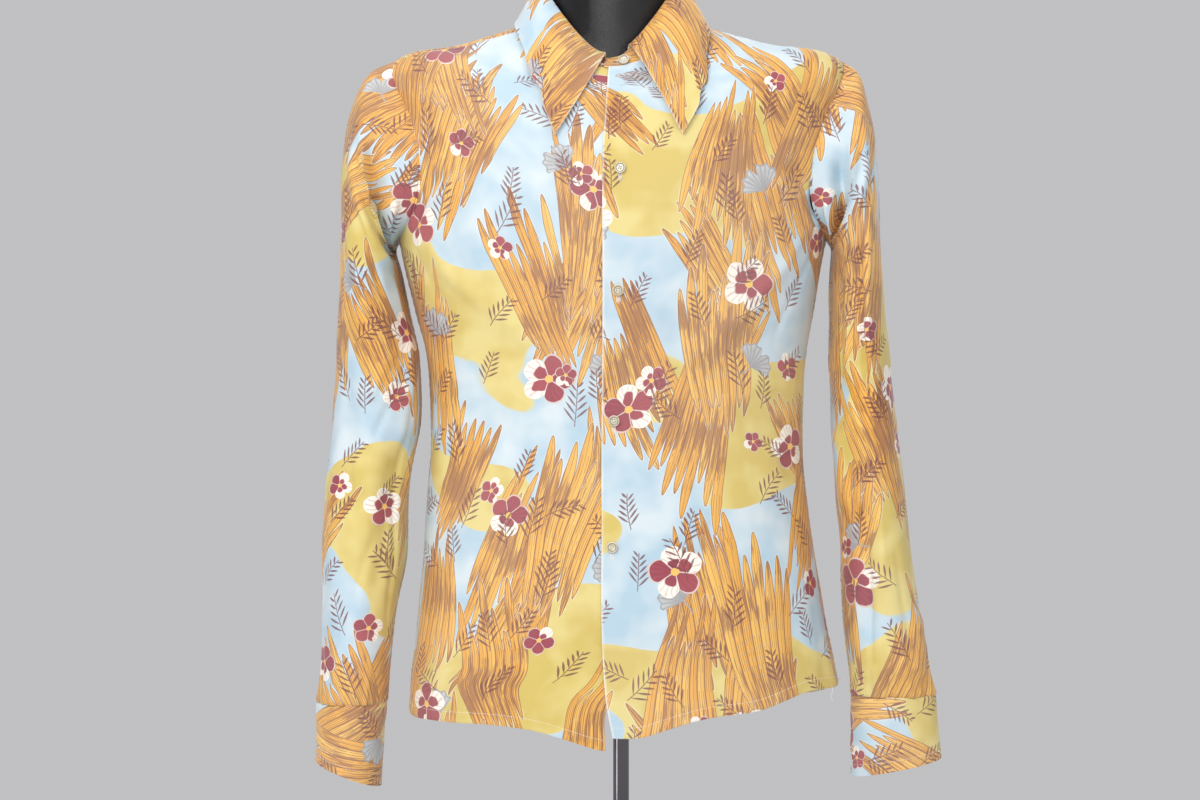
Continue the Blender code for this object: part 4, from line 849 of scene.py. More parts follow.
def cuffAt(side):                       # rings between the sleeve's end and the wrist opening; the upper end laps
    top, low = {name: column[-1] for name, column in sleeves[side].items()}, cuffs[side]

    def surface(turn, down):
        turn, down = sameShape(turn, down)
        lapped = ease((turn - math.radians(cuffLap["start"] + 340)) / math.radians(24)) * cuffLap["depth"]
        (topX, _, topZ), (lowX, _, lowZ) = sleeveRing(top, turn), sleeveRing(low, turn)
        x = mix(topX, lowX, down) - side * lapped * np.cos(turn)
        depth = mix(top["halfDepth"], low["halfDepth"], down) + lapped
        y = mix(top["centreY"], low["centreY"], down) - depth * np.sin(turn)
        return np.stack([x, y, mix(topZ - shirt["seam"], lowZ, down)], -1)

    return surface


def addCuff(name, side, offset, columns=150, rows=26):
    surface, look = cuffAt(side), cuffLook
    turn = math.radians(cuffLap["start"]) + nearEnds(columns, 0.25) * math.radians(360 + cuffLap["lap"])
    turn, down = turn[None, :], nearEnds(rows, 0.07)[:, None]
    points, outward = surface(turn, down), slopeNormals(surface, turn, down, -side)
    across, along = bothRuns(points)
    relief = softWaves(points[..., 0] * 1.4 + points[..., 1], points[..., 2], cuffWaves)
    relief = relief + look["rise"] * ease(along / 0.002) - look["dip"] * bell(along, look["dipReach"])
    relief = relief - look["stitchGroove"] * bell(along[-1:] - along - look["stitchLine"], 0.0009)
    gathers = np.sin(across * fullTurn / look["gatherLength"])
    relief = relief + look["gathers"] * gathers * bell(along, look["gatherReach"])
    uv = np.stack([along, across], -1) + offset        # the cuff's cloth is cut across the print
    points = points + outward * relief[..., None]
    return clothShell(name, points, outward, uv, look["thickness"], facing=-side), points, outward


# The collar: a band round the neck, closed by its button, and the leaf that falls over it.
bandTop = dict(half=0.0645, front=0.0650, back=0.0630, centre=-0.0115)
bandTopZ = columnsOf("away z", (0, 1.4560), (10, 1.4590), (22, 1.4705), (41, 1.4935), (58, 1.5125),
                     (90, 1.5320), (135, 1.5440), (180, 1.5480))
band = dict(underX=0.0095, overX=-0.0150, seam=0.0005, thickness=0.0010, groove=0.00012)
leaf = dict(startX={-1: -0.0150, 1: 0.0062}, seam=0.0009, rise=0.0012, roll=0.0027, bend=105, full=0.32,
            off=0.0032, thickness=0.0011, cadWall=0.0012, ridge=0.00018, groove=0.00016)
leafWaves = ((0.06, 0.5, 0.2, 0.00035), (0.038, 1.5, 1.1, 0.00022))
leafEdges = {
    -1: columnsOf("share x z", (0.00, -0.0608, 1.3800), (0.08, -0.0690, 1.4020), (0.17, -0.0800, 1.4310),
                  (0.26, -0.0890, 1.4600)),
    1: columnsOf("share x z", (0.00, 0.0546, 1.3815), (0.08, 0.0675, 1.4035), (0.17, 0.0752, 1.4280),
                 (0.26, 0.0780, 1.4570))}
leafShoulder = columnsOf("share away level", (0.40, 90, 1.592), (0.60, 128, 1.588), (1.00, 180, 1.583))


def awayFromFront(angle):
    return np.degrees(np.abs(aroundZero(angle - front)))


def bandAngle(x):
    return front + math.asin((x - bandTop["centre"]) / bandTop["half"])


def bandAt(angle, up):                  # from the neckline straight up to the band's own oval
    angle, up = sameShape(angle, up)
    past = np.degrees(angle - bandAngle(band["overX"]))
    under = (shirt["lapDepth"] * ease((past + 16) / 15) * (angle > front - math.pi))[..., None]
    low = bodyAt(angle, shirt["neckLevel"]) - bodyNormals(angle, shirt["neckLevel"] + 0 * angle) * under
    high = np.stack([*ovalAt(angle, **bandTop), readTable(bandTopZ, awayFromFront(angle), "z")], -1)
    high = high - onCircle(1, angle, 0) * under
    low = low + unit(high - low) * band["seam"]
    return mix(low, high, up[..., None])


def addBand(name, offset, columns=150, rows=14):
    start, end = bandAngle(band["underX"]), bandAngle(band["overX"]) - fullTurn
    angle = (start + nearEnds(columns, 0.42) * (end - start))[None, :]
    up = nearEnds(rows, 0.03)[:, None]
    points, outward = bandAt(angle, up), slopeNormals(bandAt, angle, up)
    across, along = bothRuns(points)
    fromEnd = across[:, -1:] - across
    relief = seamRelief(along, across, 0.6) - band["groove"] * bell(fromEnd - 0.003, 0.0009)
    uv = np.stack([across, along], -1) + offset
    points = points + outward * relief[..., None]
    return clothShell(name, points, outward, uv, band["thickness"], facing=-1), points, outward


def leafEdge(side, share):              # the outer edge, laid on the shirt and moved out
    rows = leafEdges[side]
    places = np.array([onFront(x, z) for x, z in zip(rows["x"], rows["z"])])
    shares = np.concatenate([rows["share"], leafShoulder["share"]])
    away = np.concatenate([np.abs(places[:, 0] - front), np.radians(leafShoulder["away"])])
    levels = np.concatenate([places[:, 1], leafShoulder["level"]])
    angle, level = front + side * curveThrough(share, shares, away), curveThrough(share, shares, levels)
    return bodyAt(angle, level) + bodyNormals(angle, level) * (leaf["off"] + leaf["cadWall"])


# Half the leaf: up from inside the band, round a small arc over its edge, then along a quadratic curve that
# leaves the arc's way and ends at the outer edge.
def leafHalf(side, share, arcSteps, fall):
    start = bandAngle(leaf["startX"][side]) - (fullTurn if side > 0 else 0)
    angle = start + (back - fullTurn - start) * share
    out, lift = onCircle(1, angle, 0), np.array([0, 0, 1.0])
    foot = bandAt(angle, np.ones_like(angle)) - out * leaf["cadWall"] + lift * leaf["seam"]
    middle = foot + out * leaf["roll"] + lift * leaf["rise"]
    rows = [foot, foot + lift * leaf["rise"] * 0.5]
    bends = np.radians(np.linspace(0, leaf["bend"], arcSteps + 1))
    rows += [middle + leaf["roll"] * (-math.cos(b) * out + math.sin(b) * lift) for b in bends]
    edge, top = leafEdge(side, share), rows[-1]
    tangent = math.sin(bends[-1]) * out + math.cos(bends[-1]) * lift
    pull = top + tangent * np.linalg.norm(edge - top, axis=-1, keepdims=True) * leaf["full"]
    rows += [(1 - f) ** 2 * top + 2 * f * (1 - f) * pull + f * f * edge for f in fall[1:]]
    return np.stack(rows)


def addLeaf(name, offset, columns=84, fallRows=40, arcSteps=10):
    share = nearEnds(columns, 0.22, (0, 0.0006, 0.0014, 0.0026, 0.0042))
    share = (share[:-4] / share[-5]) ** 1.12
    near = np.array([0, 0.0006, 0.0014, 0.0026, 0.0042, 0.0062]) / 0.075
    fall = np.concatenate([np.linspace(0, 1 - near[-1], fallRows)[:-1], 1 - near[::-1]])
    right, left = leafHalf(-1, share, arcSteps, fall), leafHalf(1, share, arcSteps, fall)
    points = np.concatenate([right, left[:, -2::-1]], axis=1)
    outward = unit(np.cross(np.gradient(points, axis=1), np.gradient(points, axis=0)))
    row = len(points) // 2
    facing = -1 if (outward[row] * (points[row] - (bandTop["centre"], 0, 0))).sum() < 0 else 1
    outward = outward * facing
    across, along = bothRuns(points)
    fromEdge = np.minimum(along[-1:] - along, np.minimum(across, across[:, -1:] - across))
    laid = ease((along - 0.012) / 0.02)
    ridge, groove = leaf["ridge"] * bell(fromEdge - 0.0012, 0.0012), leaf["groove"] * bell(fromEdge - 0.0052, 0.0011)
    relief = (ridge - groove) * laid + laid * softWaves(points[..., 0], points[..., 2], leafWaves)
    mid = across.shape[1] // 2
    uv = np.stack([across[row:row + 1] - across[row, mid] + 0 * across, -along], -1) + offset
    points = points + outward * relief[..., None]
    # the leaf is painted paler along its edges: partly wear, partly a painted highlight on the rolled edge
    worn = 0.55 * np.exp(-(fromEdge / 0.0007) ** 2) * laid
    return clothShell(name, points, outward, uv, leaf["thickness"], facing=facing, worn=worn), points, outward


# The cloth's print: reed sheaves, fronds, blossoms and grey fan leaves on two rolling ground colours.
def linear(red, green, blue):           # a screen colour of 0 to 255 as the shader's own numbers
    return tuple(((c / 255 + 0.055) / 1.055) ** 2.4 if c > 10 else c / 3294 for c in (red, green, blue)) + (1.0,)


class Wire:                             # a node's output; sums on wires add Math nodes
    tree = None

    def __init__(self, socket):
        self.socket = socket

    @classmethod
    def node(cls, kind, settings=None, inputs=None, out=0):
        made = cls.tree.nodes.new("ShaderNode" + kind)
        for name, value in (settings or {}).items():
            setattr(made, name, value)
        for name, value in (inputs or {}).items():
            if isinstance(value, Wire):
                cls.tree.links.new(value.socket, made.inputs[name])
            else:
                made.inputs[name].default_value = value
        return Wire(made.outputs[out])

    @classmethod
    def sum(cls, operation, *values):
        return cls.node("Math", {"operation": operation}, dict(enumerate(values)))

    def __add__(self, other): return Wire.sum("ADD", self, other)
    def __radd__(self, other): return Wire.sum("ADD", other, self)
    def __sub__(self, other): return Wire.sum("SUBTRACT", self, other)
    def __rsub__(self, other): return Wire.sum("SUBTRACT", other, self)
    def __mul__(self, other): return Wire.sum("MULTIPLY", self, other)
    def __rmul__(self, other): return Wire.sum("MULTIPLY", other, self)
    def __truediv__(self, other): return Wire.sum("DIVIDE", self, other)
    def __rtruediv__(self, other): return Wire.sum("DIVIDE", other, self)
    def __pow__(self, other): return Wire.sum("POWER", self, other)
    def __neg__(self): return Wire.sum("MULTIPLY", self, -1.0)
    def __abs__(self): return Wire.sum("ABSOLUTE", self)
    def __gt__(self, other): return Wire.sum("GREATER_THAN", self, other)
    def __lt__(self, other): return Wire.sum("LESS_THAN", self, other)
    def floor(self): return Wire.sum("FLOOR", self)
    def sin(self): return Wire.sum("SINE", self)
    def cos(self): return Wire.sum("COSINE", self)
    def largest(self, other): return Wire.sum("MAXIMUM", self, other)

    def between(self, low, high):       # 0 below low, 1 above high, even between
        return Wire.node("MapRange", {"clamp": True}, {0: self, 1: low, 2: high, 3: 0.0, 4: 1.0})


def pair(x, y):
    return Wire.node("CombineXYZ", inputs={0: x, 1: y, 2: 0.0})


def lengthOf(x, y):
    return (x * x + y * y) ** 0.5


def cloudy(x, y, scale, detail=1.0, rough=0.5):
    inputs = {"Vector": pair(x, y), "Scale": scale, "Detail": detail, "Roughness": rough}
    return Wire.node("TexNoise", {"noise_dimensions": "2D"}, inputs)


def chance(x, y, z=0.0):                # three steady random values for a cell
    vector = Wire.node("CombineXYZ", inputs={0: x, 1: y, 2: z})
    made = Wire.node("TexWhiteNoise", {"noise_dimensions": "3D"}, {"Vector": vector}, out=1)
    return [Wire.node("SeparateColor", inputs={0: made}, out=k) for k in range(3)]


def blendColour(factor, a, b):
    return Wire.node("Mix", {"data_type": "RGBA", "clamp_factor": True}, {0: factor, 6: a, 7: b}, out=2)


def turnedBy(x, y, c, s):               # a point in axes turned by the angle whose cosine and sine these are
    return x * c + y * s, y * c - x * s


# Staggered cells: a point's place in its cell, in metres from the cell's middle, and the cell's chances.
def cellsOf(u, v, look):
    (wide, tall), shift, seed = look["cell"], look["shift"], look["seed"]
    across, up = turnedBy(u, v, math.cos(look["turn"]), math.sin(look["turn"]))
    across = (across + shift[0]) * (1 / wide)
    column = across.floor()
    up = (up + shift[1]) * (1 / tall) + column * 0.5
    row = up.floor()
    chances = chance(column + seed * 13.0, row, float(seed))
    return (across - column - 0.5) * wide, (up - row - 0.5) * tall, *chances


printLook = dict(
    gold=linear(232, 170, 76), goldPale=linear(242, 194, 104), goldDeep=linear(208, 146, 66),
    brown=linear(148, 98, 74), cream=linear(246, 240, 228), blue=linear(177, 203, 218), bluePale=linear(210, 222, 227),
    olive=linear(225, 207, 133), oliveDeep=linear(212, 188, 103), maroon=linear(146, 62, 78), rose=linear(186, 90, 92),
    frond=linear(118, 66, 66), grey=linear(160, 160, 162), greyPale=linear(204, 206, 206),
    greyDeep=linear(104, 96, 104),
    reeds=(
        dict(cell=(0.176, 0.226), turn=0.30, shift=(0.13, 0.03), seed=2, apex=0.300, step=0.0270, blades=9, root=0.196,
             tip=0.392, point=0.028, lean=0.25, flip=-1, missing=0.12),
        dict(cell=(0.134, 0.190), turn=0.55, shift=(0.04, 0.02), seed=3, apex=0.330, step=0.0215, blades=6, root=0.250,
             tip=0.408, point=0.024, lean=0.4, flip=1, missing=0.10),
        dict(cell=(0.158, 0.214), turn=-0.42, shift=(0.09, 0.13), seed=4, apex=0.270, step=0.0270, blades=8, root=0.178,
             tip=0.362, point=0.026, lean=0.3, flip=1, missing=0.12),
        dict(cell=(0.186, 0.244), turn=-0.08, shift=(0.11, 0.07), seed=5, apex=0.210, step=0.0370, blades=8, root=0.108,
             tip=0.312, point=0.030, lean=0.30, flip=-1, missing=0.05),
        dict(cell=(0.206, 0.276), turn=0.14, shift=(0.02, 0.16), seed=8, apex=0.250, step=0.0340, blades=8, root=0.136,
             tip=0.368, point=0.032, lean=0.30, flip=1, missing=0.08),
    ),
    fronds=(dict(cell=(0.050, 0.056), turn=0.2, shift=(0.01, 0.0), seed=11, length=0.030, leaf=0.0125, missing=0.44),
            dict(cell=(0.062, 0.060), turn=-0.3, shift=(0.03, 0.02), seed=14, length=0.036, leaf=0.0150, missing=0.40)),
    blossoms=dict(cell=(0.150, 0.165), turn=0.25, shift=(0.06, 0.05), seed=21, size=0.0270, missing=0.10),
    buds=dict(cell=(0.112, 0.126), turn=-0.35, shift=(0.01, 0.09), seed=33, size=0.0150, missing=0.35),
    fans=dict(cell=(0.170, 0.190), turn=-0.2, shift=(0.10, 0.02), seed=27, size=0.0240, missing=0.30),
)


# How a sheaf bows, how unevenly its blades end, and the half widths of its outline, ribs and strokes in metres.
sheafLook = dict(bow=1.6, tipSpread=0.34, rootSpread=0.26, rootPoint=0.016, halo=0.0010, outline=0.00065,
                 rib=0.00020, stroke=0.00022, shade=0.45, hatch=0.72, lines=0.85)


# A sheaf: blades fan out from a far apex. Each takes one step of the angle round it, starts at its own root
# and ends at its own tip, where its width falls by a square root. Returns the blades' mask, halo and colour.
def reedSheaf(u, v, look):
    x, y, first, second, third = cellsOf(u, v, look)
    lean = (first - 0.5) * look["lean"]
    x, y = x + y * lean + y * y * (second - 0.5) * sheafLook["bow"], (y - x * lean) * look["flip"]
    up = y + look["apex"]
    angle = Wire.sum("ARCTAN2", x, up) * (1 / look["step"]) + second * 0.9 - 0.45
    reach = lengthOf(x, up)
    blade = angle.floor()
    off = abs(angle - blade - 0.5)
    tall, tone, _ = chance(blade, third * 61.0, float(look["seed"]))
    span = look["tip"] - look["root"]
    tip = look["tip"] - tall * (span * sheafLook["tipSpread"])
    root = look["root"] + tone * (span * sheafLook["rootSpread"])
    taper = ((tip - reach) * (1 / look["point"])).between(0.0, 1.0) ** 0.5 * 0.5
    taper = taper * ((reach - root) * (1 / sheafLook["rootPoint"])).between(0.0, 1.0) ** 0.5
    gap = (taper - off) * reach * look["step"]
    here = (reach > root) * (abs(blade + 0.5) < look["blades"] / 2 + 0.1) * (third > look["missing"])
    mask = (gap > 0.0) * here
    halo = (gap > -sheafLook["halo"]) * here * (reach < tip + 0.001)
    grain = cloudy(angle * 6.0, reach * 34.0, 1.0, 2.0)
    patches = cloudy(u + second, v + third, 19.0, 1.0)
    hatch = (grain + patches * 0.9 + off * 0.10).between(1.02, 1.08)
    colour = blendColour(tone, printLook["gold"], printLook["goldPale"])
    colour = blendColour((angle - blade).between(0.35, 1.0) * sheafLook["shade"], colour, printLook["goldDeep"])
    colour = blendColour(hatch * sheafLook["hatch"], colour, printLook["brown"])
    broken = cloudy(reach * 30.0, blade * 3.7, 1.0) > 0.50
    stroke = (abs(off - 0.26) * reach * look["step"] < sheafLook["stroke"]) * broken
    lines = (gap < sheafLook["outline"]).largest(stroke).largest(off * reach * look["step"] < sheafLook["rib"])
    return mask, halo, blendColour(lines * sheafLook["lines"], colour, printLook["brown"])


frondLook = dict(bow=9.0, sets=5.2, slant=0.95, width=0.00135, point=0.00005, stem=0.00042)


# A frond: slender leaves stand in turn on both sides of a stem, shorter towards its end. A leaf's half width
# is a sine of the share of its length.
def frondMask(u, v, look):
    x, y, first, second, third = cellsOf(u, v, look)
    tilt = (first - 0.5) * 2.0
    x, y = turnedBy(x, y, tilt.cos(), tilt.sin())
    x = x + (second - 0.5) * 0.006
    up = y + look["length"] * 0.5
    x = x + up * up * (second - 0.5) * frondLook["bow"]
    side, share = abs(x), up / look["length"]
    pitch = look["length"] / frondLook["sets"]
    place = (up - side * frondLook["slant"]) / pitch + (x > 0.0) * 0.5
    order = place.floor()
    reach = side / ((1.0 - share * 0.55) * look["leaf"])
    width = (reach.between(0.0, 1.0) * math.pi).sin() * frondLook["width"] + frondLook["point"]
    leaves = (abs(place - order - 0.5) * pitch < width) * (reach < 1.0) * (order > -0.5) * (order < 4.5)
    stem = (side < frondLook["stem"]) * (up > -0.004) * (share < 0.98)
    return leaves.largest(stem) * (third > look["missing"])


blossomLook = dict(wander=0.05, petal=0.38, core=0.56, wobble=0.12, heart=0.46, ribs=22.0, eye=0.15)


# A blossom of five round petals. The edge's radius is its size times a core, plus a power of the cosine of two and
# a half times the angle, plus a wobble. Some petals are maroon, some cream with maroon hearts, and the eye is pale.
def blossomParts(u, v, look):
    x, y, first, second, third = cellsOf(u, v, look)
    x, y = x + (first - 0.5) * blossomLook["wander"], y + (second - 0.5) * blossomLook["wander"]
    size = (second * 0.3 + 0.75) * look["size"]
    angle = Wire.sum("ARCTAN2", x, y) + first * 6.0
    reach = lengthOf(x, y * 1.12)
    wobble = cloudy(x + first * 9.0, y + second * 7.0, 70.0, 1.0)
    petal = abs((angle * 2.5).cos())
    edge = size * (petal ** 0.6 * blossomLook["petal"] + blossomLook["core"] + wobble * blossomLook["wobble"])
    share = reach / edge
    mask = (share < 1.0) * (third > look["missing"])
    index = (angle * (2.5 / math.pi) + 0.5).floor()
    tone, deep, _ = chance(index, first * 31.0, 4.0)
    heart = (share - wobble * 0.5).between(0.30, 0.36)
    dark = (tone > blossomLook["heart"]).largest(1.0 - heart)
    colour = blendColour(dark, printLook["cream"], blendColour(deep * 0.5, printLook["maroon"], printLook["rose"]))
    ribs = ((angle * blossomLook["ribs"] + wobble * 9.0).sin() > 0.75) * (share > 0.40)
    colour = blendColour(ribs * 0.35, colour, printLook["rose"])
    rim = (share > 0.93).largest(petal < 0.14 / share.largest(0.2) * 0.5)
    colour = blendColour(rim * 0.6, colour, printLook["cream"])
    eye = reach < size * blossomLook["eye"]
    colour = blendColour(eye, colour, printLook["goldPale"])
    return mask, colour


fanLook = dict(wander=0.05, spread=1.22, notch=0.30, ripple=0.045, ripples=15.0, veins=26.0, stem=0.00055,
               stemLength=0.013, stemBow=12.0)


# A grey fan leaf on a short stem. The edge's radius is its size, less a tenth of the square of the angle, less a
# notch in its middle, plus a ripple.
def fanLeaf(u, v, look):
    x, y, first, second, third = cellsOf(u, v, look)
    x, y = x + (first - 0.5) * fanLook["wander"], y + (second - 0.5) * fanLook["wander"] + 0.010
    tilt = (second - 0.5) * 2.2
    x, y = turnedBy(x, y, tilt.cos(), tilt.sin())
    angle, reach = Wire.sum("ARCTAN2", x, y), lengthOf(x, y)
    notch = (1.0 - (abs(angle) * 6.0).between(0.0, 1.0)) * fanLook["notch"]
    ripple = (angle * fanLook["ripples"] + first * 6.0).sin() * fanLook["ripple"]
    edge = look["size"] * (1.0 - angle * angle * 0.10 - notch + ripple)
    share = reach / edge
    blade = (share < 1.0) * (abs(angle) < fanLook["spread"])
    stem = (abs(x + y * y * fanLook["stemBow"]) < fanLook["stem"]) * (y < 0.0) * (y > -fanLook["stemLength"])
    veins = ((angle * fanLook["veins"]).sin() > 0.72) * (share > 0.12)
    wash = cloudy(x, y, 90.0, 2.0)
    colour = blendColour(share * 0.9 + wash * 0.5 - 0.35, printLook["grey"], printLook["greyPale"])
    colour = blendColour(veins.largest(share > 0.93) * 0.45, colour, printLook["greyDeep"])
    return blade.largest(stem) * (third > look["missing"]), colour


clothLook = dict(roughness=0.52, sheen=0.18, sheenRoughness=0.4, weave=0.00055, weaveDepth=0.000035,
                 slubDepth=0.00006, insideFade=0.5)


def newMaterial(name):
    made = bpy.data.materials.new(name)
    made.use_nodes = True
    made.node_tree.nodes.clear()
    Wire.tree = made.node_tree
    return made


def finishMaterial(constants, links):   # Principled with its fixed numbers set on its own sockets
    shader = Wire.tree.nodes.new("ShaderNodeBsdfPrincipled")
    for name, value in constants.items():
        shader.inputs[name].default_value = value
    for name, wire in links.items():
        Wire.tree.links.new(wire.socket, shader.inputs[name])
    output = Wire.tree.nodes.new("ShaderNodeOutputMaterial")
    Wire.tree.links.new(shader.outputs[0], output.inputs[0])


def objectPlace():                      # a point in the piece's own space
    return Wire.node("TexCoord", out=3)


def partsOf(vector, count):
    return [Wire.node("SeparateXYZ", inputs={0: vector}, out=k) for k in range(count)]


def markOf(name):                       # a number that the mesh's points carry
    return Wire.node("Attribute", {"attribute_name": name}, out=2)


def noiseAt(place, scale, detail, distortion=0.0):
    return Wire.node("TexNoise", None, {"Vector": place, "Scale": scale, "Detail": detail, "Distortion": distortion})


def bumpOf(height, strength, depth, **under):
    return Wire.node("Bump", None, {"Strength": strength, "Distance": depth, "Height": height, **under})


def makePrint():
    made, look = newMaterial("printed cloth"), printLook
    rawU, rawV = partsOf(Wire.node("UVMap", {"uv_map": "cut"}), 2)
    u = rawU + (cloudy(rawU, rawV, 7.0, 1.0) - 0.5) * 0.016        # a hand-drawn waver
    v = rawV + (cloudy(rawU + 5.0, rawV, 6.0, 1.0) - 0.5) * 0.016
    ground = cloudy(u * 0.8 + 1.7, v * 1.25 + 0.4, 6.2, 1.2, 0.4)
    wash = cloudy(u, v, 22.0, 2.0)
    field = (ground + wash * 0.02).between(0.536, 0.542)
    blue = blendColour(wash.between(0.35, 0.7), look["blue"], look["bluePale"])
    olive = blendColour((wash + ground * 0.8).between(0.85, 1.10), look["olive"], look["oliveDeep"])
    colour = blendColour(field, blue, olive)
    for reedLook in look["reeds"]:
        mask, halo, reeds = reedSheaf(u, v, reedLook)
        colour = blendColour(mask, blendColour(halo * 0.30, colour, look["cream"]), reeds)
    for motif, name in ((fanLeaf, "fans"), (blossomParts, "blossoms"), (blossomParts, "buds")):
        mask, motifColour = motif(u, v, look[name])
        colour = blendColour(mask, colour, motifColour)
    small, large = (frondMask(u, v, sprig) for sprig in look["fronds"])
    colour = blendColour(small.largest(large) * 0.85, colour, look["frond"])
    fading = cloudy(rawU, rawV, 3.0, 3.0).between(0.3, 0.75)        # worn, washed print
    patchy = cloudy(rawU, rawV, 30.0, 2.0).between(0.25, 0.65) * 0.6 + 0.25
    # edges are painted paler by a point mark: partly wear, partly a painted highlight where folded edges catch the
    # light; inside faces are paler as the back of the print
    for share in (fading * 0.10, markOf("worn") * patchy, markOf("inside") * clothLook["insideFade"]):
        colour = blendColour(share, colour, look["cream"])
    pitch = fullTurn / clothLook["weave"]
    weave = (rawU * pitch).sin() * (rawV * pitch).sin()
    slub = cloudy(rawU * 9.0, rawV, 60.0, 3.0) + cloudy(rawU, rawV * 9.0, 60.0, 3.0)
    bump = bumpOf(slub, 0.6, clothLook["slubDepth"], Normal=bumpOf(weave, 0.5, clothLook["weaveDepth"]))
    rough = wash * 0.14 + (clothLook["roughness"] - 0.07)
    finishMaterial({"Sheen Weight": clothLook["sheen"], "Sheen Roughness": clothLook["sheenRoughness"],
                    "Specular IOR Level": 0.35}, {"Base Color": colour, "Roughness": rough, "Normal": bump})
    return made


# the ring colour is painted shade for the hollow round the bowl and the button's underside
pearlLook = dict(low=linear(196, 184, 152), high=linear(232, 226, 208), ring=linear(128, 116, 94), paintedShadeShare=0.75,
                 scale=420.0, swirl=1.4, coat=0.6, coatRoughness=0.08)


def makeButtonPearl():                  # pearly resin: cloudy swirls of cream and silver under a gloss coat
    made, look = newMaterial("pearl button"), pearlLook
    swirl = noiseAt(objectPlace(), look["scale"], 3.0, look["swirl"])
    colour = blendColour(swirl.between(0.35, 0.65), look["low"], look["high"])
    # painted shade on the button: darker in the ring round the bowl and underneath
    colour = blendColour(markOf("ring") * look["paintedShadeShare"], colour, look["ring"])
    finishMaterial({"Coat Weight": look["coat"], "Coat Roughness": look["coatRoughness"], "Specular IOR Level": 0.5},
                   {"Base Color": colour, "Roughness": swirl * 0.2 + 0.16, "Metallic": swirl.between(0.3, 0.9) * 0.2})
    return made


threadLook = dict(low=linear(222, 216, 204), high=linear(250, 247, 240), pitch=0.0007, depth=0.00005)


def makeThread():                       # twisted white thread
    made = newMaterial("sewing thread")
    x, y, z = partsOf(objectPlace(), 3)
    twist = ((x + y + z * 1.3) * (fullTurn / threadLook["pitch"])).sin()
    colour = blendColour(twist * 0.5 + 0.5, threadLook["low"], threadLook["high"])
    bump = bumpOf(twist, 0.5, threadLook["depth"])
    finishMaterial({"Roughness": 0.6, "Sheen Weight": 0.2}, {"Base Color": colour, "Normal": bump})
    return made


formLook = dict(low=linear(4, 4, 6), high=linear(14, 14, 18), pitch=0.0026, depth=0.000075, specular=0.55)


def makeFormBlack():                    # gloss black over a fine canvas grain
    made = newMaterial("gloss black form")
    u, v = partsOf(Wire.node("UVMap", {"uv_map": "cut"}), 2)
    pitch = fullTurn / formLook["pitch"]
    waver = cloudy(u, v, 90.0, 2.0) * 2.5
    grain = (u * pitch + waver).sin() * (v * pitch + waver).sin() + cloudy(u, v, 900.0, 2.0) * 1.2
    wear = cloudy(u, v, 14.0, 4.0)
    colour = blendColour(wear.between(0.45, 0.8), formLook["low"], formLook["high"])
    bump = bumpOf(grain, 1.0, formLook["depth"])
    finishMaterial({"Specular IOR Level": formLook["specular"]},
                   {"Base Color": colour, "Roughness": wear * 0.10 + 0.10, "Normal": bump})
    return made


def makeMetal(name, low, high, base):   # polished metal with fine hairlines and handling marks
    made, place = newMaterial(name), objectPlace()
    x, y, z = partsOf(place, 3)
    marks = noiseAt(place, 35.0, 4.0)
    lines = noiseAt(Wire.node("CombineXYZ", inputs={0: x * 60.0, 1: y * 60.0, 2: z * 3.0}), 20.0, 2.0)
    rough = marks.between(0.35, 0.75) * (high - low) + low
    colour = blendColour(marks.between(0.3, 0.8), base, tuple(c * 0.86 for c in base[:3]) + (1.0,))
    finishMaterial({"Metallic": 1.0}, {"Base Color": colour, "Roughness": rough, "Normal": bumpOf(lines, 0.15, 0.0001)})
    return made


finishes.update(print=makePrint(), pearl=makeButtonPearl(), thread=makeThread(), form=makeFormBlack(),
                chrome=makeMetal("chrome pole", 0.05, 0.14, linear(118, 115, 119)),
                foot=makeMetal("steel foot", 0.16, 0.30, linear(176, 176, 180)))
print("materials made")


# Where each piece's cut lies on the print.
offsets = dict(front_left=(0.31, 0.20), front_right=(-0.92, 0.47), back=(2.10, 0.10), yoke=(3.40, 0.80),
               sleeve_left=(4.60, 1.55), sleeve_right=(5.80, 1.10), cuff_left=(6.70, 0.30), cuff_right=(7.40, 0.62),
               collar_stand=(8.20, 0.40), collar_leaf=(12.58, 3.05))
sides = {"left": 1, "right": -1}
grids = {}                              # each piece's points and normals, for the threads


def cutAndSew(key, add, *side):
    pieces[key], *grids[key] = add("shirt_" + key, *side, offsets[key])


for word, side in sides.items():
    cutAndSew("front_" + word, addFront, side)
cutAndSew("back", addBack)
cutAndSew("yoke", addYoke)
for word, side in sides.items():
    cutAndSew("sleeve_" + word, addSleeve, side)
for word, side in sides.items():
    cutAndSew("cuff_" + word, addCuff, side)
cutAndSew("collar_stand", addBand)
cutAndSew("collar_leaf", addLeaf)
print("cloth made:", {name: round(piece["area"], 4) for name, piece in pieces.items()})


# A stitch is a small capsule: rings of a circle whose radius goes as sqrt(1 - t^2) along its length.
def capsuleShape(corners=6):
    along, radius = np.array([-0.92, -0.5, 0.5, 0.92])[:, None], np.array([0.55, 1, 1, 0.55])[:, None]
    rings = onCircle(radius, ringAngles(corners), along)[..., [2, 0, 1]].reshape(-1, 3)
    numbers = closedUp(np.arange(4 * corners).reshape(4, corners))
    points = np.concatenate([rings, [[-1, 0, 0], [1, 0, 0]]])
    return points, quadsOf(numbers)[:, ::-1], poleCaps(numbers, 4 * corners, 4 * corners + 1)


def stitchSet(name, centres, tangents, outward, length, radius):
    shape, quads, caps = capsuleShape()
    tangents = unit(np.array(tangents))
    sideways = unit(np.cross(outward, tangents))
    points, scaled = centres[:, None], shape[None] * (length / 2, radius, radius)
    for k, way in enumerate((tangents, sideways, np.cross(tangents, sideways))):
        points = points + scaled[..., k:k + 1] * way[:, None]
    first = np.arange(len(points))[:, None, None] * len(shape)
    return meshObject(name, points.reshape(-1, 3), [(quads + first).reshape(-1, 4), (caps + first).reshape(-1, 3)],
                      finishes["thread"])


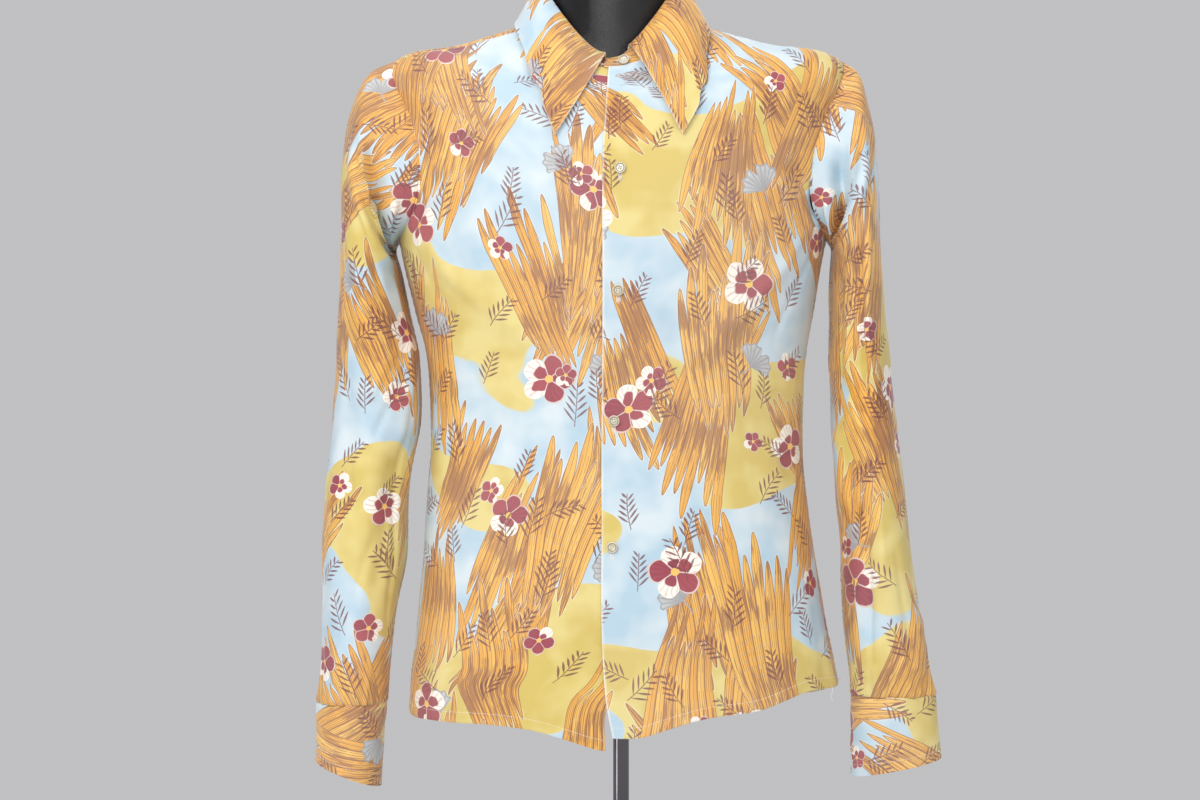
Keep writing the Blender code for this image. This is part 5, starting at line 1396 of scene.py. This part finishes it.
def alongPath(path, outward, pitch, lift):      # evenly spaced places on a line of points
    length = runs(path, 0)
    at = np.arange(pitch, length[-1] - pitch, pitch)
    spots, ahead, out = (np.stack([np.interp(places, length, values[:, k]) for k in range(3)], -1)
                         for places, values in ((at, path), (at + pitch * 0.3, path), (at, outward)))
    return spots + unit(out) * lift, ahead - spots, unit(out)


stitches = dict(pitch=0.0029, hem=dict(row=7, lift=0.00008, length=0.0021, radius=0.00019),
                cuff=dict(row=-8, lift=0.00006, length=0.0020, radius=0.00016))
for key in ("front_left", "front_right", "back", "cuff_left", "cuff_right"):
    name = "stitches_" + (key if key.startswith("cuff") else "hem_" + key)
    look, (points, outward) = stitches["cuff" if key.startswith("cuff") else "hem"], grids[key]
    places = alongPath(points[look["row"]], outward[look["row"]], stitches["pitch"], look["lift"])
    pieces[name] = stitchSet(name, *places, look["length"], look["radius"])


# Buttonholes: two ridges of close stitches either side of a slit, with a bar at each end.
def frontSpot(x, z):
    at = onFront(x, z)
    relief = bodyRelief(np.array(at[0]), np.array(at[1]))
    return bodyAt(*at) + bodyNormals(*at) * relief, bodyNormals(*at)


buttonRows = columnsOf("x z", (-0.0019, 1.3503), (-0.0037, 1.2397), (-0.0073, 1.1210), (-0.0091, 1.0058))
holeLook = dict(length=0.0135, drop=0.0042, pitch=0.00050, gap=0.0009, width=0.0017, radius=0.00021)
rows = []                               # middle, way and normal of each stitch
for x, z in zip(buttonRows["x"], buttonRows["z"]):
    middle = z - holeLook["drop"]
    for t in np.arange(0, holeLook["length"], holeLook["pitch"]):
        for side in (-1, 1):
            spot, out = frontSpot(x + side * holeLook["gap"], middle - t + holeLook["length"] / 2)
            rows.append((spot + out * 0.0001, (1.0, 0, 0.1 * side), out))
    for end in (-0.5, 0.5):
        spot, out = frontSpot(x, middle + end * (holeLook["length"] + 0.0008))
        rows += [(spot + out * 0.0002 + np.array((0, 0, lift)), (1.0, 0, 0), out) for lift in (-0.0003, 0.0003)]
pieces["stitches_buttonholes"] = stitchSet("stitches_buttonholes", *map(np.array, zip(*rows)), holeLook["width"],
                                           holeLook["radius"])

collar = dict(x=0.0004, up=0.5, buttonUp=0.25, holeLength=0.0125, holeGap=0.045, holeSlope=6, tip=(0, -0.42, -0.16))
rows = []
for t in np.arange(0, collar["holeLength"], holeLook["pitch"]):
    for side in (-1, 1):
        angle = np.array(bandAngle(collar["x"] + 0.0055 - t) - fullTurn)
        up = np.array(collar["up"] + side * collar["holeGap"] - (collar["holeLength"] / 2 - t) * collar["holeSlope"])
        out = slopeNormals(bandAt, angle, up)
        rows.append((bandAt(angle, up) + out * 0.0001, (0.1, 0, 1.0), out))
pieces["stitches_collar_buttonhole"] = stitchSet("stitches_collar_buttonhole", *map(np.array, zip(*rows)),
                                                 holeLook["width"], holeLook["radius"])


def threadTube(name, path, radius=0.00017, corners=6, count=24):      # a loose thread: a circle carried along a path
    path = np.array(path, float)
    at = np.linspace(0, len(path) - 1, count)
    line = np.stack([curveThrough(at, np.arange(len(path), dtype=float), path[:, k]) for k in range(3)], -1)
    way = unit(np.gradient(line, axis=0))
    sideways = unit(np.cross(way, (0.3, 1.0, 0.2)))
    upward = np.cross(way, sideways)
    angles = ringAngles(corners)[None, :, None]
    thin = np.ones(count) * radius
    thin[[0, -1]] *= 0.3
    ring = np.cos(angles) * sideways[:, None] + np.sin(angles) * upward[:, None]
    rings = line[:, None] + thin[:, None, None] * ring
    numbers = closedUp(np.arange(count * corners).reshape(count, corners))
    ends = np.concatenate([numbers[:1, :-1], numbers[-1:, -2::-1]])
    return meshObject(name, rings.reshape(-1, 3), [quadsOf(numbers)[:, ::-1], ends], finishes["thread"])


leftPoints = grids["front_left"][0]
looseThreads = dict(
    thread_hem_side=(leftPoints[1, -3], ((-0.004, -0.0004, 0.004), (0.002, -0.003, 0.003), (0.005, -0.005, 0.0045),
                                         (0.006, -0.006, 0.001))),
    thread_hem=(leftPoints[0, -20], ((0, -0.0004, 0.003), (0.001, -0.0022, -0.003), (-0.001, -0.003, -0.008),
                                     (0.001, -0.003, -0.012))))
for name, (corner, path) in looseThreads.items():
    pieces[name] = threadTube(name, corner + np.array(path))
print("threads made")

buttonLook = dict(radius=0.0052, thickness=0.0024, off=0.0002, collarOff=0.0008, holes=0.00135, bore=0.00052,
                  sunk=0.0004, bowl=0.64, bowlEdge=0.62, dip=0.0009, round=0.0008, rings=26, steps=56)


# A dished button: its height follows the radius, flat rim then a bowl, with four round dips for the thread.
def addButton(name, spot, outward, off, turn):
    look, spokes = buttonLook, [turn + k * math.pi / 2 for k in range(4)]
    r, t, steps = look["radius"], look["thickness"], look["steps"]
    share = np.linspace(0, 1, look["rings"] + 1)[1:]
    radius, angles = (r * share ** 0.9)[:, None], ringAngles(steps)[None, :]
    bowl = t * (look["bowl"] + (1 - look["bowl"]) * ease((radius / r - look["bowlEdge"]) / 0.16))
    edge = np.clip((radius - (r - look["round"])) / look["round"], 0, 1)
    height = bowl - look["dip"] * (1 - np.sqrt(1 - 0.98 * edge ** 2)) + 0 * angles
    x, y = radius * np.cos(angles), radius * np.sin(angles)
    for a in spokes:
        far = np.hypot(x - look["holes"] * math.cos(a), y - look["holes"] * math.sin(a))
        height = height - look["dip"] * (1 - ease((far - look["bore"] * 0.7) / (look["bore"] * 0.6)))
    lowRadius, lowHeight = r * np.array([1.0, 0.985, 0.93])[:, None], t * np.array([0.42, 0.16, 0.0])[:, None]
    rings = np.concatenate([onCircle(radius, angles, height), onCircle(lowRadius, angles, lowHeight)]).reshape(-1, 3)
    points = np.concatenate([rings, [[0, 0, t * look["bowl"]], [0, 0, 0]]])
    numbers = closedUp(np.arange(len(rings)).reshape(-1, steps))
    caps = poleCaps(numbers, len(rings), len(rings) + 1)[:, ::-1]
    axes = np.array(Vector(outward).to_track_quat("Z", "Y").to_matrix()).T

    def place(local):
        return local @ axes + spot + outward * off

    reach = np.hypot(points[:, 0], points[:, 1]) / r        # painted shade: a dark ring where the bowl meets the rim, and darker on the lower side and underside
    ring = np.where(points[:, 2] > t * 0.6, bell(reach - 0.70, 0.13), 0.6)
    made = meshObject(name, place(points), [quadsOf(numbers)[:, ::-1], caps], finishes["pearl"],
                      marks={"ring": ring}, sharp=60)
    centres, ways = [], []
    for a, b in [(0, 2), (1, 3)] if turn < 1 else [(0, 1), (2, 3)]:         # sewn crosswise or in two bars
        start, end = (np.array([math.cos(spokes[k]), math.sin(spokes[k]), 0]) for k in (a, b))
        for shift in (-0.00012, 0.00012):
            across = np.cross(unit(end - start), (0, 0, 1.0)) * shift
            centres.append((start + end) / 2 * look["holes"] + across + (0, 0, t * look["bowl"] + 0.00008))
            ways.append(end - start)
    sewn = stitchSet(name + "_thread", place(np.array(centres)), np.array(ways) @ axes,
                     np.repeat(outward[None], len(centres), axis=0), look["holes"] * 2.1, 0.00016)
    return made, sewn


angle = np.array(bandAngle(collar["x"]) - fullTurn)
tipped = unit(slopeNormals(bandAt, angle, np.array(collar["up"])) + collar["tip"])      # it hangs forward on its thread
spot = bandAt(angle, np.array(collar["buttonUp"]))
spots = {"button_1": (spot, tipped, buttonLook["collarOff"] + 0.0013)}
shank = spot + tipped * 0.3 * 0.003 + np.array([[-0.0004, 0, 0], [0, 0, 0], [0.0004, 0, 0]])
pieces["button_1_shank"] = stitchSet("shirt_button_1_shank", shank, [tipped] * 3, [(1.0, 0, 0)] * 3, 0.0036, 0.00035)
for k, (x, z) in enumerate(zip(buttonRows["x"], buttonRows["z"])):
    place = onFront(x, z)
    spots[f"button_{k + 2}"] = (bodyAt(*place), bodyNormals(*place), buttonLook["off"])
for word, side in sides.items():
    surface = cuffAt(side)
    place = np.array(math.radians(cuffLap["start"] + 360 + cuffLap["lap"] * 0.62)), np.array(0.5)
    spots["button_cuff_" + word] = (surface(*place), slopeNormals(surface, *place, -side), buttonLook["off"])
for k, (name, (spot, outward, off)) in enumerate(spots.items()):
    pieces[name], pieces[name + "_thread"] = addButton("shirt_" + name, spot, outward, off + buttonLook["sunk"],
                                                       0.3 + 0.23 * k)
print("buttons made")

# What the shirt is worn on.
stand = dict(frontClear=0.0032, neckClear=0.0035, bottom=0.884, neckTop=1.590, neckPlain=1.562, edge=0.006,
             bottomInset=(0.95, 0.93), socket=0.060, gap=0.0003)
neck = dict(half=0.0600, front=0.0585, back=0.0585, centre=-0.0115)
pole = dict(radius=0.0076, foot=0.006, bevel=0.0008)
foot = dict(radius=0.150, rim=0.005, thickness=0.011, bossRadius=0.020, bossHeight=0.038)


# The torso is the shirt's plain sections moved in along their normals; the neck is an oval; rows between them
# go from one to the other by a cubic. Below, a socket takes the pole.
def addForm(name, columns=128):
    angle = ringAngles(columns)
    frontward = np.clip(-np.sin(angle), 0, 1) ** 4
    top, socket = stand["bottom"] + stand["socket"], pole["radius"] + stand["gap"]
    levels = np.concatenate([np.linspace(stand["bottom"], hole["base"], 36, endpoint=False),
                             np.linspace(hole["base"], shirt["neckLevel"], 52)])
    rings = []
    for level in levels:
        inset = readTable(body, level, "clear") + stand["frontClear"] * frontward
        outward = slopeNormals(plainAt, angle, min(level, shirt["neckLevel"] - step))
        rings.append(plainAt(angle, level) - outward * inset[:, None])
    rings[-1] = rings[-1] - onCircle(1, angle, 0) * stand["neckClear"]
    rings[0][:, 2] = stand["bottom"] + stand["edge"]
    rounded = []
    for t in np.radians((90, 60, 30)):
        scale = np.array([1 - (1 - k) * math.sin(t) for k in stand["bottomInset"]] + [1])
        rounded.append(rings[0] * scale - (0, 0, stand["edge"] * (1 - math.cos(t))))
    mouth = onCircle(socket, angle, stand["bottom"])
    rings = [onCircle(socket * 0.5, angle, top), onCircle(socket, angle, top), mouth, (mouth + rounded[0]) / 2,
             *rounded, *rings]
    rings[3][:, 2] = stand["bottom"]

    def neckRing(inward, z):
        x, y = ovalAt(angle, neck["half"] - inward, neck["centre"], neck["front"] - inward, neck["back"] - inward)
        return np.stack([x, y, np.broadcast_to(z, x.shape)], -1)

    low, high = rings[-1], neckRing(-0.0015, readTable(bandTopZ, awayFromFront(angle), "z") - 0.004)
    rings += [low + (high - low) * ease(np.array(f)) * [1, 1, 0] + (high - low) * f * [0, 0, 1]
              for f in (0.25, 0.5, 0.75)]
    rings.append(high)
    rings += [mix(high, neckRing(0, stand["neckPlain"]), f) for f in (0.2, 0.4, 0.6, 0.8, 1)]
    rings += [neckRing(0, z) for z in np.linspace(stand["neckPlain"], stand["neckTop"] - stand["edge"], 4)[1:]]
    for t in np.radians((30, 60, 90)):
        rings.append(neckRing(stand["edge"] * (1 - math.cos(t)), stand["neckTop"] - stand["edge"] * (1 - math.sin(t))))
    rings += [neckRing(0.020, stand["neckTop"]), neckRing(0.045, stand["neckTop"])]
    points = np.concatenate([*rings, [[0, 0, top], [neck["centre"], 0, stand["neckTop"]]]])
    numbers = closedUp(np.arange(len(points) - 2).reshape(-1, columns))
    caps = poleCaps(numbers, len(points) - 2, len(points) - 1)
    wrapped = closedUp(np.array(rings))
    quarter = columns * 3 // 4          # the front's column, whose lengths up hold for all
    up = runs(wrapped, 0)[:, quarter:quarter + 1] + 0 * wrapped[..., 0]
    uv = np.stack([runs(wrapped, 1), up], -1).reshape(-1, 2)
    marks = np.arange(len(uv)).reshape(wrapped.shape[:2])
    capMarks = np.concatenate([np.stack([marks[0, 1:], marks[0, :-1], marks[0, :-1]], -1),
                               np.stack([marks[-1, :-1], marks[-1, 1:], marks[-1, 1:]], -1)])
    cornerUv = np.concatenate([uv[quadsOf(marks).ravel()], uv[capMarks.ravel()]])
    return meshObject(name, points, [quadsOf(numbers), caps], finishes["form"], cornerUv, sharp=40)


pieces["dress_form"] = addForm("stand_dress_form")
top, bevel, radius = stand["bottom"] + stand["socket"] - stand["gap"], pole["bevel"], pole["radius"]
profile = [(0, pole["foot"]), (radius - bevel, pole["foot"]), (radius - bevel * 0.3, pole["foot"] + bevel * 0.3),
           (radius, pole["foot"] + bevel)]
profile += [(radius, z) for z in np.linspace(pole["foot"] + 0.02, top - 0.02, 12)]
profile += [(radius, top - bevel), (radius - bevel * 0.3, top - bevel * 0.3), (radius - bevel, top), (0, top)]
pieces["pole"] = turnedObject("stand_pole", profile, finishes["chrome"], 64)
r, rim, bossRadius, clear = foot["radius"], foot["rim"], foot["bossRadius"], stand["gap"]
profile = [(0, 0), (r - 0.001, 0), (r - 0.0003, 0.0003), (r, 0.001), (r, rim)]
profile += [(r - 0.004 * (1 - math.cos(t)), rim + 0.004 * math.sin(t)) for t in np.radians((18, 36, 54, 72, 90))]
profile += [(0.5 * r, 0.0103)] + [(bossRadius + out, foot[level] + up) for out, level, up in (
    (0.008, "thickness", 0), (0.004, "thickness", 0.0007), (0.0015, "thickness", 0.0026), (0, "thickness", 0.006),
    (0, "bossHeight", -0.003), (-0.0008, "bossHeight", -0.0008), (-0.0025, "bossHeight", 0))]
profile += [(radius + clear, foot["bossHeight"]), (radius + clear, pole["foot"] - clear), (0, pole["foot"] - clear)]
pieces["base"] = turnedObject("stand_foot", profile, finishes["foot"], 128)
print("stand made")

# What each piece stands for.
cadNodes = ("front_left", "front_right", "back", "yoke", "sleeve_left", "sleeve_right", "cuff_left", "cuff_right",
            "collar_stand", "collar_leaf", "button_1", "button_2", "button_3", "button_4", "button_5",
            "button_cuff_left", "button_cuff_right", "dress_form", "pole", "base")
for name, piece in pieces.items():
    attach(piece, "root")
    if name in cadNodes:
        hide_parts(name)
    buttonly = name.startswith("button") and not name.endswith(("thread", "shank"))

# width, length and flat area of each piece's cut
cuts = dict(front_left=(0.31, 0.77), front_right=(0.31, 0.79), back=(0.54, 0.66), yoke=(0.50, 0.24),
            sleeve_left=(0.36, 0.64), sleeve_right=(0.36, 0.65), cuff_left=(0.23, 0.075), cuff_right=(0.23, 0.075),
            collar_stand=(0.44, 0.045), collar_leaf=(0.46, 0.10))
for name, size in cuts.items():
    share = min(1.0, pieces[name]["area"] / (size[0] * size[1]))
    max(0.3, share) * size[0] * size[1]

# Floor, light and camera.
scene = bpy.context.scene
scene.view_settings.view_transform = "Standard"
studio = dict(floor=3.5, key=52, front=18, low=1.6, fill=10, top=13, rear=20, world=0.62, eye=(-0.020, -2.4, 1.14),
              lens=75.8)


def makeFloorPaint():
    made = newMaterial("floor paint")
    soft = noiseAt(objectPlace(), 2.0, 3.0)
    colour = blendColour(soft, linear(226, 226, 228), linear(232, 232, 233))
    finishMaterial({"Roughness": 0.85}, {"Base Color": colour})
    return made


reach = studio["floor"]
floor = turnedObject("floor", [(0, -0.02), (reach, -0.02), (reach, 0), (reach * 0.5, 0), (0, 0)], makeFloorPaint(), 96)


def addLight(name, energy, size, place, target, tall=None):
    light = bpy.data.lights.new(name, "AREA")
    light.energy, light.shape, light.size, light.size_y = energy, "RECTANGLE", size, tall or size
    made = bpy.data.objects.new(name, light)
    made.location = place
    made.rotation_euler = (Vector(target) - Vector(place)).to_track_quat("-Z", "Y").to_euler()
    scene.collection.objects.link(made)
    return made


key = addLight("key light", studio["key"], 1.3, (-1.5, -2.6, 2.85), (0, 0, 1.15))
key.visible_glossy = False      # the neck then shows the front light's streak alone, as in the photo
addLight("front light", studio["front"], 0.9, (-0.35, -3.0, 2.0), (0, 0, 1.4))
addLight("low light", studio["low"], 0.7, (-2.16, -1.05, 0.44), (0, 0, 0.6), 0.2)
addLight("fill light", studio["fill"], 2.2, (1.9, -2.4, 1.6), (0, 0, 1.1))
addLight("top light", studio["top"], 1.6, (0, -0.2, 3.2), (0, 0, 1.2))
addLight("rear light", studio["rear"], 2.2, (0.6, 2.8, 2.3), (0, 0, 1.1))
world = bpy.data.worlds.new("studio")
world.use_nodes = True
world.node_tree.nodes["Background"].inputs[0].default_value = linear(238, 238, 240)
world.node_tree.nodes["Background"].inputs[1].default_value = studio["world"]
scene.world = world

camera = bpy.data.cameras.new("camera")
camera.lens, camera.sensor_width = studio["lens"], 36
eye = bpy.data.objects.new("camera", camera)
eye.location = studio["eye"]
eye.rotation_euler = (math.pi / 2, 0, 0)
scene.collection.objects.link(eye)
scene.camera = eye

bpy.context.view_layer.update()
print("triangles:", sum(len(p.vertices) - 2 for name in pieces for p in pieces[name].data.polygons))
